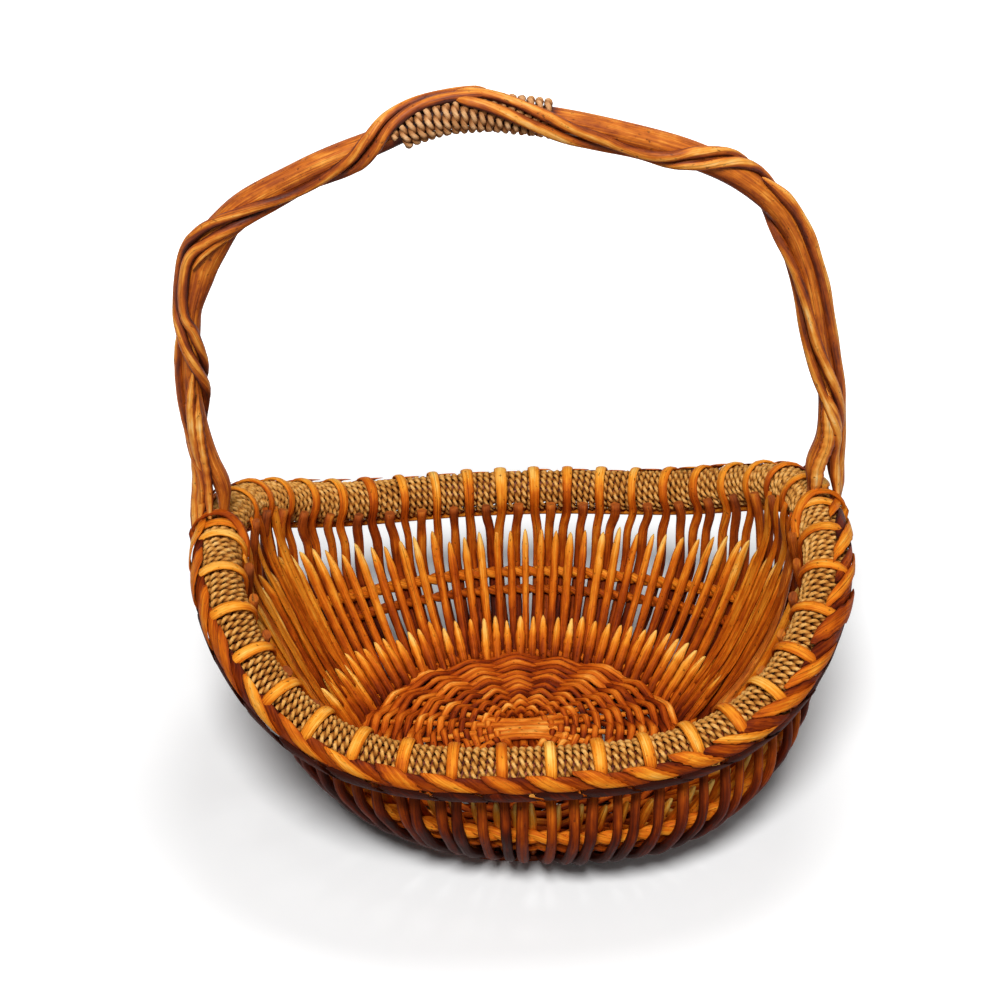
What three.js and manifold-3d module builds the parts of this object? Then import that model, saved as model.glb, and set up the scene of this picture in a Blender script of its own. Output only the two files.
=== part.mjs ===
// Gathering basket of willow with a rope-wound rim and a fixed overhead handle.
// Millimetres. X runs along the handle's span, +Y is the back, +Z is up, and the basket stands on Z = 0.
import * as THREE from "three";
import ManifoldModule from "manifold-3d";

// Gap kept between pieces that touch
const CLEAR = 0.35;

// Steps used to measure lengths along a curve
const ARC_DIVISIONS = 1200;

// Rim: the roll's centre-line is a rounded oblong whose two ends sweep up
const RIM_HALF_LENGTH = 197;
const RIM_HALF_WIDTH = 166;
const RIM_SQUARENESS = 2.5;
const RIM_MID_HEIGHT = 120;
const RIM_END_RISE = 65;
const RIM_RISE_POWER = 4.2;
const ROLL_RADIUS = 15;
const CORE_RADIUS = 9;
const ROLL_STEPS = 50;
const ROLL_SIDES = 8;
const SEAM_WIDTH_ANGLE = 16;

// Rolled border on the outer side of the roll: a band of overlapping leaves
const BORDER_ANGLE = 5;
const BORDER_HEIGHT = 12;
const LEAF_THIN = 3.2;
const LEAF_THICK = 5.2;
const LEAF_SHARE = 0.9;

// Base
const BASE_HALF_LENGTH = 122;
const BASE_HALF_WIDTH = 111;
const BASE_DOME = 11;
const FOOT_HOOP_HEIGHT = 4;
const FOOT_HOOP_WIDTH = 9;
const FOOT_HOOP_INSET = 6;
const WEAVE_THICKNESS = 7;
const WEAVE_HOLE_RADIUS = 27;
const WEAVE_STEPS = 40;
const WEAVE_RINGS = 3;
const STICKS_EACH_WAY = 5;
const STICK_FAN_STEP = 18;
const STICK_HALF_THICKNESS = 1.6;
const STICK_END_HALF_WIDTH = 2.2;
const STICK_SIDES = 6;
const STICK_LAP = 0.1;
const STICK_OVERRUN = 4;
const SLATH_SPACING = 6.4;
const SLATH_HALF_LENGTH = 19;
const STICK_LEVEL_RADIUS = 50;

// Stakes: willow rods, each bent into a hairpin whose two legs stand in the wall
const STAKE_POSITIONS = 84;
const STAKE_SIDES = 5;
const STAKE_RADIUS = 3.1;
const STRAP_HALF_WIDTH = 3.3;
const STRAP_HALF_THICKNESS = 1.6;
const STRAP_END_ANGLE = 30;
const STRAP_LOW_ANGLE = 205;
const STRAP_STEPS = 5;
const BLUNT_END_ANGLE = 188;
const STAKE_FOOT_DEPTH = 14;
const STAKE_FOOT_HALF_THICKNESS = 2;
const BACK_CROWDING = 0.0785;
const SIDE_SPREADING = 0.0885;

// Wall heights are shares of the way from the foot of a stake to the centre of the roll
const WALL_BULGE = 8;
const CORNER_BULGE = 18;
const CORNER_BULGE_TURN = 0.88;
const WALE_RADIUS = 2.6;
const WALE_LOWER_SHARE = 0.41;
const WALE_UPPER_SHARE = 0.53;
const STAKE_SHARE_UNDER_WALE = 0.36;
const STAKE_SHARE_OVER_WALE = 0.6;
const STAKE_CROSSING_SHARE = 0.78;
const UPPER_HOOP_RADIUS = 2;
const UPPER_HOOP_ANGLE = 254;
const HOOP_STEPS = 48;
const HOOP_SIDES = 5;

// Handle: the arch of the bow lies in one upright plane, from the left leg to the right leg. Each point is a
// share of the rim's half length and a share of the handle's rise over the ends of the rim.
const HANDLE_RISE = 287;
const BOW_ARCH = [
  [-0.985, 0.129], [-1.015, 0.192], [-1.052, 0.348], [-1.034, 0.557], [-1.02, 0.638],
  [-1.002, 0.69], [-0.964, 0.735], [-0.898, 0.782], [-0.665, 0.876], [-0.416, 0.946],
  [-0.254, 0.99], [-0.152, 1], [0.071, 0.986], [0.31, 0.946], [0.548, 0.891], [0.65, 0.857],
  [0.741, 0.812], [0.812, 0.763], [0.863, 0.707], [0.904, 0.638], [0.97, 0.453], [1.015, 0.279],
  [1.015, 0.202], [0.985, 0.129],
];
const BOW_RADIUS = 7.2;
const BOW_LEG_RADIUS = 6;
const BOW_LEG_TOP_SHARE = 0.62;
const BOW_ARCH_LOW_SHARE = 0.85;
const BOW_FOOT_HALF_WIDTH = 6.2;
const BOW_FOOT_HALF_THICKNESS = 3.4;
const BOW_TIP_SHARE = 0.14;
const BOW_LOW_SHARE = 0.5;
const BOW_ROLL_ANGLES = [230, 100];
const BOW_STEPS_BETWEEN = 2;
const BOW_SIDES = 8;

// Twist rods: pairs of [share of the bow's length, turn in degrees], where a turn of 0 is the front of the
// bow and 90 is its outer side. Their gap to the bow is a little wider than CLEAR, because their straight
// steps cut across its curve.
const LEFT_TWIST = [
  [0.192, 95], [0.225, 190], [0.25, 290], [0.275, 375], [0.295, 425], [0.312, 425], [0.33, 390],
  [0.36, 325], [0.39, 285], [0.414, 320], [0.431, 375], [0.448, 425], [0.465, 450], [0.49, 455],
];
const RIGHT_TWIST = [
  [0.808, 90], [0.776, 10], [0.743, -45], [0.695, -85], [0.655, -180], [0.627, -270], [0.603, -355],
  [0.574, -425], [0.545, -390], [0.52, -350], [0.495, -285],
];
const TWIST_RADIUS = 3.4;
const TWIST_CLEAR = 0.45;
const TWIST_HALF_SPACING = 4.3;
const TWIST_STEPS = 33;
const TWIST_SIDES = 5;
const TWIST_FOOT_ANGLE = 40;
const TWIST_FOOT_SPACING = 7.4;

// Grip: a rope wound on the top of the bow in one unbroken helix
const GRIP_START_SHARE = 0.445;
const GRIP_TURNS = 18;
const GRIP_PITCH = 5.3;
const GRIP_ROPE_RADIUS = 1.95;
const GRIP_LOOP_STEPS = 10;
const GRIP_SIDES = 5;
const GRIP_RAMP_SHARE = 0.03;

// Ties over the rim beside the handle's feet, counted in stake spacings from the bow
const TIE_OFFSET = 0.75;
const TIE_TAIL_SHARE = 0.8;

const UP = new THREE.Vector3(0, 0, 1);
const DOWN = new THREE.Vector3(0, 0, -1);
const FRONT = new THREE.Vector3(0, -1, 0);

const wrap = (share) => share - Math.floor(share);
const radians = THREE.MathUtils.degToRad;

// Offsets a point along any number of [direction, distance] pairs.
function moved(point, ...steps) {
  const result = point.clone();
  for (const [direction, distance] of steps) {
    result.addScaledVector(direction, distance);
  }
  return result;
}

// Closed surface through rings of points. Each ring turns clockwise seen along the way the rings run.
function loft(rings, closed) {
  const sides = rings[0].length;
  const positions = rings.flat().flatMap((point) => point.toArray());
  const index = [];
  const spans = closed ? rings.length : rings.length - 1;
  for (let i = 0; i < spans; i += 1) {
    const here = i * sides;
    const next = ((i + 1) % rings.length) * sides;
    for (let j = 0; j < sides; j += 1) {
      const k = (j + 1) % sides;
      index.push(here + j, next + j, here + k);
      index.push(here + k, next + j, next + k);
    }
  }
  if (!closed) {
    const last = (rings.length - 1) * sides;
    for (let j = 1; j < sides - 1; j += 1) {
      index.push(0, j, j + 1);
      index.push(last, last + j + 1, last + j);
    }
  }
  const geometry = new THREE.BufferGeometry();
  geometry.setAttribute("position", new THREE.Float32BufferAttribute(positions, 3));
  geometry.setIndex(index);
  return geometry;
}

// Rod along stations, each with a point, a thickness direction, a half width and a half thickness.
function rod(stations, sides, closed = false) {
  const count = stations.length;
  const rings = stations.map((station, i) => {
    const before = stations[closed ? (i + count - 1) % count : Math.max(i - 1, 0)].point;
    const after = stations[closed ? (i + 1) % count : Math.min(i + 1, count - 1)].point;
    const into = station.point.clone().sub(before).normalize();
    const onward = after.clone().sub(station.point).normalize();
    const along = into.add(onward).normalize();
    const across = along.clone().cross(station.normal).normalize();
    const deep = across.clone().cross(along);
    return Array.from({ length: sides }, (_, j) => {
      const angle = (2 * Math.PI * j) / sides;
      return moved(
        station.point,
        [across, station.width * Math.cos(angle)],
        [deep, station.thickness * Math.sin(angle)],
      );
    });
  });
  return loft(rings, closed);
}

// Rounded oblong seen from above, with the height of its ends raised.
class RimCurve extends THREE.Curve {
  getPoint(share, target = new THREE.Vector3()) {
    const angle = 2 * Math.PI * share;
    const c = Math.cos(angle);
    const s = Math.sin(angle);
    const reach =
      Math.pow(Math.abs(c) / RIM_HALF_LENGTH, RIM_SQUARENESS) +
      Math.pow(Math.abs(s) / RIM_HALF_WIDTH, RIM_SQUARENESS);
    const radius = Math.pow(reach, -1 / RIM_SQUARENESS);
    const endShare = Math.abs((radius * c) / RIM_HALF_LENGTH);
    const height = RIM_MID_HEIGHT + RIM_END_RISE * Math.pow(endShare, RIM_RISE_POWER);
    return target.set(radius * c, radius * s, height);
  }
}

// Ellipse at one height, inset from the edge of the base.
class BaseCurve extends THREE.Curve {
  constructor(inset, height) {
    super();
    this.inset = inset;
    this.height = height;
  }

  getPoint(share, target = new THREE.Vector3()) {
    const angle = 2 * Math.PI * share;
    return target.set(
      (BASE_HALF_LENGTH - this.inset) * Math.cos(angle),
      (BASE_HALF_WIDTH - this.inset) * Math.sin(angle),
      this.height,
    );
  }
}

const stakeFootHeight = FOOT_HOOP_HEIGHT + CLEAR + STAKE_FOOT_HALF_THICKNESS;
const rimCurve = new RimCurve();
rimCurve.arcLengthDivisions = ARC_DIVISIONS;
const stakeFootCurve = new BaseCurve(0, stakeFootHeight);
stakeFootCurve.arcLengthDivisions = ARC_DIVISIONS;

// Share of the rim at a share of the stakes: they crowd at the back and spread at the two ends.
function rimShare(turn) {
  const angle = 2 * Math.PI * (turn - 0.25);
  const crowding = (BACK_CROWDING * Math.sin(angle)) / (2 * Math.PI);
  const spreading = (SIDE_SPREADING * Math.sin(2 * angle)) / (4 * Math.PI);
  return wrap(turn - crowding - spreading);
}

// Section frame of the roll at a share of the stakes.
function rimFrame(turn) {
  const share = rimShare(turn);
  const centre = rimCurve.getPointAt(share);
  const along = rimCurve.getTangentAt(share);
  const out = along.clone().cross(UP).normalize();
  const up = out.clone().cross(along).normalize();
  return { centre, along, out, up };
}

// Direction from the roll's centre at an angle that is 0 outwards, 90 on top and 180 inwards.
function rollDirection(frame, degrees) {
  const angle = radians(degrees);
  return frame.out.clone().multiplyScalar(Math.cos(angle)).addScaledVector(frame.up, Math.sin(angle));
}

const rollPoint = (frame, degrees, radius) => moved(frame.centre, [rollDirection(frame, degrees), radius]);

// Wall frame at a share of the stakes: a line from the stake's foot to the roll, and the outward normal.
function wallFrame(turn) {
  const foot = stakeFootCurve.getPointAt(wrap(turn));
  const footAlong = stakeFootCurve.getTangentAt(wrap(turn));
  const rim = rimFrame(turn);
  const rise = rim.centre.clone().sub(foot);
  const along = footAlong.clone().add(rim.along).normalize();
  const out = along.clone().cross(rise).normalize();
  const inward = UP.clone().cross(footAlong).normalize();
  const nearCorner = Math.max(0, Math.cos(2 * Math.PI * (turn - CORNER_BULGE_TURN)));
  const bulge = WALL_BULGE + CORNER_BULGE * nearCorner * nearCorner;
  return { foot, rise, out, inward, rim, bulge };
}

// Point on the wall at a share of its height, moved off the middle of the wall along its normal.
function wallPoint(frame, share, offset) {
  const bulge = frame.bulge * 4 * share * (1 - share);
  return moved(frame.foot, [frame.rise, share], [frame.out, offset + bulge]);
}

const positionTurn = (position) => (position - 0.5) / STAKE_POSITIONS;

// Named meshes
const willow = new THREE.MeshStandardMaterial({ color: 0xb06a2a, roughness: 0.45, metalness: 0 });
const strapWillow = new THREE.MeshStandardMaterial({ color: 0xd98f3a, roughness: 0.4, metalness: 0 });
const baseWillow = new THREE.MeshStandardMaterial({ color: 0x9a5526, roughness: 0.5, metalness: 0 });
const rope = new THREE.MeshStandardMaterial({ color: 0xb39a6b, roughness: 0.85, metalness: 0 });

const basket = new THREE.Group();

function add(name, geometry, material) {
  geometry.computeVertexNormals();
  const mesh = new THREE.Mesh(geometry, material);
  mesh.name = name;
  basket.add(mesh);
}

// Base: foot hoop, woven dome and the two layers of sticks that run through it
function footHoop() {
  const curve = new BaseCurve(FOOT_HOOP_INSET, 0);
  const rings = Array.from({ length: HOOP_STEPS }, (_, i) => {
    const share = i / HOOP_STEPS;
    const point = curve.getPoint(share);
    const out = curve.getTangent(share).cross(UP).normalize();
    const half = FOOT_HOOP_WIDTH / 2;
    return [
      moved(point, [out, half], [UP, FOOT_HOOP_HEIGHT]),
      moved(point, [out, -half], [UP, FOOT_HOOP_HEIGHT]),
      moved(point, [out, -half]),
      moved(point, [out, half]),
    ];
  });
  return loft(rings, true);
}

const weaveUnderside = stakeFootHeight + STAKE_FOOT_HALF_THICKNESS + CLEAR;
const weaveEdgeInset = STAKE_RADIUS + CLEAR;
const weaveReach = BASE_HALF_LENGTH - weaveEdgeInset;
const baseRoundness = (BASE_HALF_WIDTH - weaveEdgeInset) / weaveReach;

const stickReach = weaveReach - CLEAR;

// Height of the dome above its edge at a distance from the middle.
const domeRise = (radius) => BASE_DOME * (1 - Math.pow(radius / weaveReach, 2));

const wasm = await ManifoldModule();
wasm.setup();

function toSolid(geometry) {
  return new wasm.Manifold(
    new wasm.Mesh({
      numProp: 3,
      vertProperties: new Float32Array(geometry.attributes.position.array),
      triVerts: new Uint32Array(geometry.index.array),
    }),
  );
}

function fromSolid(solid) {
  const mesh = solid.getMesh();
  const geometry = new THREE.BufferGeometry();
  geometry.setAttribute("position", new THREE.BufferAttribute(mesh.vertProperties, 3));
  geometry.setIndex(new THREE.BufferAttribute(mesh.triVerts, 1));
  return geometry;
}

// Stations along a stick, from one end to the other. A channel for it is larger all round and runs out past
// the edge of the weave.
function stickStations(way, number, level, growth, overrun) {
  const middle = (STICKS_EACH_WAY - 1) / 2;
  const fan = radians((number - middle) * STICK_FAN_STEP);
  const slath = [SLATH_HALF_LENGTH, (number - middle) * SLATH_SPACING];
  const end = [stickReach * Math.cos(fan), stickReach * Math.sin(fan)];
  const levelShare = (STICK_LEVEL_RADIUS - SLATH_HALF_LENGTH) / (stickReach - SLATH_HALF_LENGTH);
  const slathLift = level * (STICK_HALF_THICKNESS + CLEAR / 2);
  const slathHalfWidth = SLATH_SPACING / 2 + STICK_LAP;
  const arm = [
    [1 + overrun / stickReach, STICK_END_HALF_WIDTH, 0],
    [1, STICK_END_HALF_WIDTH, 0],
    [levelShare, THREE.MathUtils.lerp(slathHalfWidth, STICK_END_HALF_WIDTH, levelShare), 0],
    [0, slathHalfWidth, slathLift],
  ].slice(overrun > 0 ? 0 : 1);
  const station = (sign) => ([share, width, lift]) => {
    const forward = sign * THREE.MathUtils.lerp(slath[0], end[0], share);
    const side = THREE.MathUtils.lerp(slath[1], end[1], share);
    const radius = Math.min(Math.hypot(forward, side), weaveReach);
    const [x, y] = way === "length" ? [forward, side] : [side, forward];
    const height = weaveUnderside + WEAVE_THICKNESS / 2 + domeRise(radius) + lift;
    return {
      point: new THREE.Vector3(x, y * baseRoundness, height),
      normal: DOWN,
      width: width + growth,
      thickness: STICK_HALF_THICKNESS + growth,
    };
  };
  return [...arm.map(station(-1)), ...arm.map(station(1)).reverse()];
}

function stickLayer(way, level, growth, overrun) {
  const sticks = Array.from({ length: STICKS_EACH_WAY }, (_, number) =>
    toSolid(rod(stickStations(way, number, level, growth, overrun), STICK_SIDES)),
  );
  return wasm.Manifold.union(sticks);
}

function weaveDome() {
  const radii = Array.from({ length: WEAVE_RINGS + 1 }, (_, i) =>
    THREE.MathUtils.lerp(WEAVE_HOLE_RADIUS, weaveReach, i / WEAVE_RINGS),
  );
  const under = radii.map((r) => new THREE.Vector2(r, weaveUnderside + domeRise(r)));
  const over = radii.map((r) => new THREE.Vector2(r, weaveUnderside + WEAVE_THICKNESS + domeRise(r)));
  const section = [...under, ...over.reverse()];
  const rings = Array.from({ length: WEAVE_STEPS }, (_, i) => {
    const angle = (2 * Math.PI * i) / WEAVE_STEPS;
    return section.map(
      (p) => new THREE.Vector3(p.x * Math.cos(angle), p.x * Math.sin(angle) * baseRoundness, p.y),
    );
  });
  return toSolid(loft(rings, true));
}

const upperSticks = stickLayer("length", 1, 0, 0);
const lowerSticks = stickLayer("width", -1, 0, 0);
const channels = wasm.Manifold.union([
  stickLayer("length", 1, CLEAR, STICK_OVERRUN),
  stickLayer("width", -1, CLEAR, STICK_OVERRUN),
]);
add("foot_hoop", footHoop(), willow);
add("base_weave", fromSolid(weaveDome().subtract(channels)), baseWillow);
add("base_sticks_lengthwise", fromSolid(upperSticks), willow);
add("base_sticks_crosswise", fromSolid(lowerSticks), willow);

// Wall: hairpin stakes, whose legs stand outside the wales and cross to the inner side of the roll. One leg
// goes on over the roll as a flat strap, and the other ends bluntly against it.
const stakeOffset = WALE_RADIUS + STAKE_RADIUS + 2 * CLEAR;

function strapOverRoll(rim, lowAngle) {
  const step = (lowAngle - STRAP_END_ANGLE) / STRAP_STEPS;
  const radius = (ROLL_RADIUS + CLEAR + STRAP_HALF_THICKNESS) / Math.cos(radians(step / 2));
  return Array.from({ length: STRAP_STEPS + 1 }, (_, i) => {
    const angle = STRAP_END_ANGLE + step * i;
    return {
      point: rollPoint(rim, angle, radius),
      normal: rollDirection(rim, angle).negate(),
      width: STRAP_HALF_WIDTH,
      thickness: STRAP_HALF_THICKNESS,
    };
  });
}

function wallStation(frame, share, offset) {
  return {
    point: wallPoint(frame, share, offset),
    normal: frame.out,
    width: STAKE_RADIUS,
    thickness: STAKE_RADIUS,
  };
}

function footStations(frame) {
  const slant = frame.out.clone().add(DOWN).normalize();
  const size = { width: STAKE_RADIUS, thickness: STAKE_FOOT_HALF_THICKNESS };
  return [
    { point: frame.foot, normal: slant, ...size },
    { point: moved(frame.foot, [frame.inward, STAKE_FOOT_DEPTH]), normal: DOWN, ...size },
  ];
}

function stakePair(pair) {
  const strap = wallFrame(positionTurn(2 * pair));
  const blunt = wallFrame(positionTurn(2 * pair + 1));
  const bluntEnd = {
    ...wallStation(blunt, 1, 0),
    point: rollPoint(blunt.rim, BLUNT_END_ANGLE, ROLL_RADIUS + 3 * CLEAR + STAKE_RADIUS),
  };
  const stations = [
    ...strapOverRoll(strap.rim, STRAP_LOW_ANGLE),
    wallStation(strap, STAKE_CROSSING_SHARE, -STAKE_RADIUS),
    wallStation(strap, STAKE_SHARE_OVER_WALE, stakeOffset),
    wallStation(strap, STAKE_SHARE_UNDER_WALE, stakeOffset),
    ...footStations(strap),
    ...footStations(blunt).reverse(),
    wallStation(blunt, STAKE_SHARE_UNDER_WALE, stakeOffset),
    wallStation(blunt, STAKE_SHARE_OVER_WALE, stakeOffset),
    wallStation(blunt, STAKE_CROSSING_SHARE, -STAKE_RADIUS),
    bluntEnd,
  ];
  return rod(stations, STAKE_SIDES);
}

const pairCount = STAKE_POSITIONS / 2;
for (let pair = 0; pair < pairCount; pair += 1) {
  const handleFoot = pair === 0 || pair === pairCount / 2;
  if (!handleFoot) {
    add(`stake_pair_${String(pair).padStart(2, "0")}`, stakePair(pair), willow);
  }
}

// Hoops that run round the wall
function hoop(pointAt, radius) {
  const stations = Array.from({ length: HOOP_STEPS }, (_, i) => {
    const frame = wallFrame(i / HOOP_STEPS);
    return { point: pointAt(frame), normal: frame.out, width: radius, thickness: radius };
  });
  return rod(stations, HOOP_SIDES, true);
}

const wale = (share) => hoop((frame) => wallPoint(frame, share, 0), WALE_RADIUS);
const upperHoopRadius = ROLL_RADIUS + CLEAR + UPPER_HOOP_RADIUS;
add("wale_lower", wale(WALE_LOWER_SHARE), willow);
add("wale_upper", wale(WALE_UPPER_SHARE), willow);
add(
  "upper_hoop",
  hoop((frame) => rollPoint(frame.rim, UPPER_HOOP_ANGLE, upperHoopRadius), UPPER_HOOP_RADIUS),
  willow,
);

// The bow's way: its feet pass down through the roll at the two ends and on inside the wall
const rightFoot = wallFrame(0);
const leftFoot = wallFrame(0.5);
const handleDepth = rightFoot.rim.centre.y;
const bowFootOffset = -(WALE_RADIUS + CLEAR + BOW_FOOT_HALF_THICKNESS);

function bowFoot(frame) {
  return [
    wallPoint(frame, BOW_TIP_SHARE, bowFootOffset),
    wallPoint(frame, BOW_LOW_SHARE, bowFootOffset),
    ...BOW_ROLL_ANGLES.map((angle) => rollPoint(frame.rim, angle, ROLL_RADIUS)),
  ];
}

const rimEndHeight = RIM_MID_HEIGHT + RIM_END_RISE;
const archPoint = ([share, height]) =>
  new THREE.Vector3(share * RIM_HALF_LENGTH, handleDepth, rimEndHeight + height * HANDLE_RISE);
const bowPoints = [
  ...bowFoot(leftFoot),
  ...BOW_ARCH.map(archPoint),
  ...bowFoot(rightFoot).reverse(),
];
const bowCurve = new THREE.CatmullRomCurve3(bowPoints, false, "centripetal");
bowCurve.arcLengthDivisions = ARC_DIVISIONS;

// The bow is thickest on the arch, thinner on its legs, and flat where it goes into the roll.
function bowRadius(height) {
  const share = (height - rimEndHeight) / HANDLE_RISE;
  const grown = THREE.MathUtils.smoothstep(share, BOW_LEG_TOP_SHARE, BOW_ARCH_LOW_SHARE);
  return THREE.MathUtils.lerp(BOW_LEG_RADIUS, BOW_RADIUS, grown);
}

function bowSection(height) {
  const grown = THREE.MathUtils.smoothstep(height - rimEndHeight, ROLL_RADIUS, 3 * ROLL_RADIUS);
  const radius = bowRadius(height);
  return {
    width: THREE.MathUtils.lerp(BOW_FOOT_HALF_THICKNESS, radius, grown),
    thickness: THREE.MathUtils.lerp(BOW_FOOT_HALF_WIDTH, radius, grown),
  };
}

// The bow, grown all round where it cuts its own channel.
function bow(growth) {
  const steps = (bowPoints.length - 1) * BOW_STEPS_BETWEEN;
  const stations = bowCurve.getPoints(steps).map((point) => {
    const { width, thickness } = bowSection(point.z);
    return { point, normal: FRONT, width: width + growth, thickness: thickness + growth };
  });
  return rod(stations, BOW_SIDES);
}

// Rim: a core hoop, the rope roll wound round it with a seam underneath, and the rolled border
// Angles of the roll's corners. One of them faces the upper hoop, and the seam is the step after the last.
function rollAngles() {
  const step = (360 - SEAM_WIDTH_ANGLE) / (ROLL_SIDES - 1);
  const first = UPPER_HOOP_ANGLE + step + SEAM_WIDTH_ANGLE;
  return Array.from({ length: ROLL_SIDES }, (_, i) => first + step * i);
}

function rimRings(section) {
  return Array.from({ length: ROLL_STEPS }, (_, i) => section(rimFrame(i / ROLL_STEPS)));
}

function rollSection(frame) {
  const outer = rollAngles().map((angle) => rollPoint(frame, angle, ROLL_RADIUS));
  const inner = rollAngles().map((angle) => rollPoint(frame, angle, CORE_RADIUS + CLEAR));
  return [...outer, ...inner.reverse()];
}

function coreSection(frame) {
  return rollAngles().map((angle) => rollPoint(frame, angle, CORE_RADIUS));
}

function rolledBorder() {
  const rings = [];
  for (let leaf = 0; leaf < pairCount; leaf += 1) {
    for (const grown of [0, 0.5, 1]) {
      const frame = rimFrame((leaf + LEAF_SHARE * grown) / pairCount);
      const thickness = THREE.MathUtils.lerp(LEAF_THIN, LEAF_THICK, grown);
      const face = rollPoint(frame, BORDER_ANGLE, ROLL_RADIUS + CLEAR);
      const out = rollDirection(frame, BORDER_ANGLE);
      const up = rollDirection(frame, BORDER_ANGLE + 90);
      const half = BORDER_HEIGHT / 2;
      rings.push([
        moved(face, [up, -half]),
        moved(face, [up, -half], [out, thickness]),
        moved(face, [up, half], [out, thickness]),
        moved(face, [up, half]),
      ]);
    }
  }
  return loft(rings, true);
}

const bowChannel = toSolid(bow(CLEAR));
const throughRim = (section) =>
  fromSolid(toSolid(loft(rimRings(section), true)).subtract(bowChannel));
add("rim_core", throughRim(coreSection), willow);
add("rim_rope_winding", throughRim(rollSection), rope);
add("rim_border_plait", rolledBorder(), strapWillow);

// Handle
// Frame on the bow at a share of its length, with a direction for any turn round it.
function bowFrame(share) {
  const centre = bowCurve.getPointAt(share);
  const outer = FRONT.clone().cross(bowCurve.getTangentAt(share)).normalize();
  const direction = (degrees) => {
    const angle = radians(degrees);
    return FRONT.clone().multiplyScalar(Math.cos(angle)).addScaledVector(outer, Math.sin(angle));
  };
  return { centre, direction };
}

const gripEndShare = GRIP_START_SHARE + (GRIP_TURNS * GRIP_PITCH) / bowCurve.getLength();

// Extra distance that lifts a twist rod over the grip's rope.
function gripLift(share) {
  const inside = Math.min(share - GRIP_START_SHARE, gripEndShare - share);
  const ramp = THREE.MathUtils.smoothstep(inside, -GRIP_RAMP_SHARE, 0);
  return ramp * (2 * GRIP_ROPE_RADIUS + CLEAR);
}

function twistRod(keys, foot, side) {
  const spline = new THREE.SplineCurve(keys.map(([share, turn]) => new THREE.Vector2(share, turn)));
  const footRadius = ROLL_RADIUS + CLEAR + TWIST_RADIUS;
  const footPoint = moved(
    rollPoint(foot.rim, TWIST_FOOT_ANGLE, footRadius),
    [FRONT, (-side * TWIST_FOOT_SPACING) / 2],
  );
  const section = { width: TWIST_RADIUS, thickness: TWIST_RADIUS };
  const stations = [{ point: footPoint, normal: FRONT, ...section }];
  for (let i = 0; i <= TWIST_STEPS; i += 1) {
    const at = spline.getPoint(i / TWIST_STEPS);
    const frame = bowFrame(at.x);
    const reach = bowRadius(frame.centre.z) + TWIST_CLEAR + TWIST_RADIUS + gripLift(at.x);
    const apart = THREE.MathUtils.radToDeg(Math.asin(TWIST_HALF_SPACING / reach));
    const normal = frame.direction(at.y + side * apart);
    stations.push({ point: moved(frame.centre, [normal, reach]), normal, ...section });
  }
  return rod(stations, TWIST_SIDES);
}

// The rope's centre-line, and the least gap between turns that are not next to each other on it
function gripStations() {
  const reach = (BOW_RADIUS + CLEAR + GRIP_ROPE_RADIUS) / Math.cos(Math.PI / GRIP_LOOP_STEPS);
  const steps = GRIP_TURNS * GRIP_LOOP_STEPS;
  return Array.from({ length: steps + 1 }, (_, i) => {
    const frame = bowFrame(THREE.MathUtils.lerp(GRIP_START_SHARE, gripEndShare, i / steps));
    const normal = frame.direction((360 * i) / GRIP_LOOP_STEPS);
    return {
      point: moved(frame.centre, [normal, reach]),
      normal,
      width: GRIP_ROPE_RADIUS,
      thickness: GRIP_ROPE_RADIUS,
    };
  });
}

function leastSelfGap(stations, radius, apart) {
  let least = Infinity;
  stations.forEach((a, i) => {
    for (let j = i + apart; j < stations.length; j += 1) {
      least = Math.min(least, a.point.distanceTo(stations[j].point) - 2 * radius);
    }
  });
  return least;
}

const gripRope = gripStations();
const gripGap = leastSelfGap(gripRope, GRIP_ROPE_RADIUS, GRIP_LOOP_STEPS / 2);
console.log(`grip rope: least gap to itself ${gripGap.toFixed(2)} mm over ${GRIP_TURNS} turns`);

add("handle_bow", bow(0), willow);
add("twist_rod_left_front", twistRod(LEFT_TWIST, leftFoot, -1), willow);
add("twist_rod_left_back", twistRod(LEFT_TWIST, leftFoot, 1), willow);
add("twist_rod_right_front", twistRod(RIGHT_TWIST, rightFoot, -1), willow);
add("twist_rod_right_back", twistRod(RIGHT_TWIST, rightFoot, 1), willow);
add("grip_rope", rod(gripRope, GRIP_SIDES), rope);

// Ties over the rim in front of the handle's feet
function tie(turn) {
  const frame = wallFrame(turn);
  const tail = {
    ...wallStation(frame, TIE_TAIL_SHARE, 0),
    width: STRAP_HALF_WIDTH,
    thickness: STRAP_HALF_THICKNESS,
  };
  return rod([...strapOverRoll(frame.rim, STRAP_LOW_ANGLE), tail], STAKE_SIDES);
}

add("tie_right", tie(-TIE_OFFSET / STAKE_POSITIONS), strapWillow);
add("tie_left", tie(0.5 + TIE_OFFSET / STAKE_POSITIONS), strapWillow);

export default basket;
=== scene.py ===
"""Gathering basket: willow wall and base, rope-wound rim, rolled border and a twisted overhead handle."""

import math

import bpy
import numpy as np
from mathutils import Matrix, Vector


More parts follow.
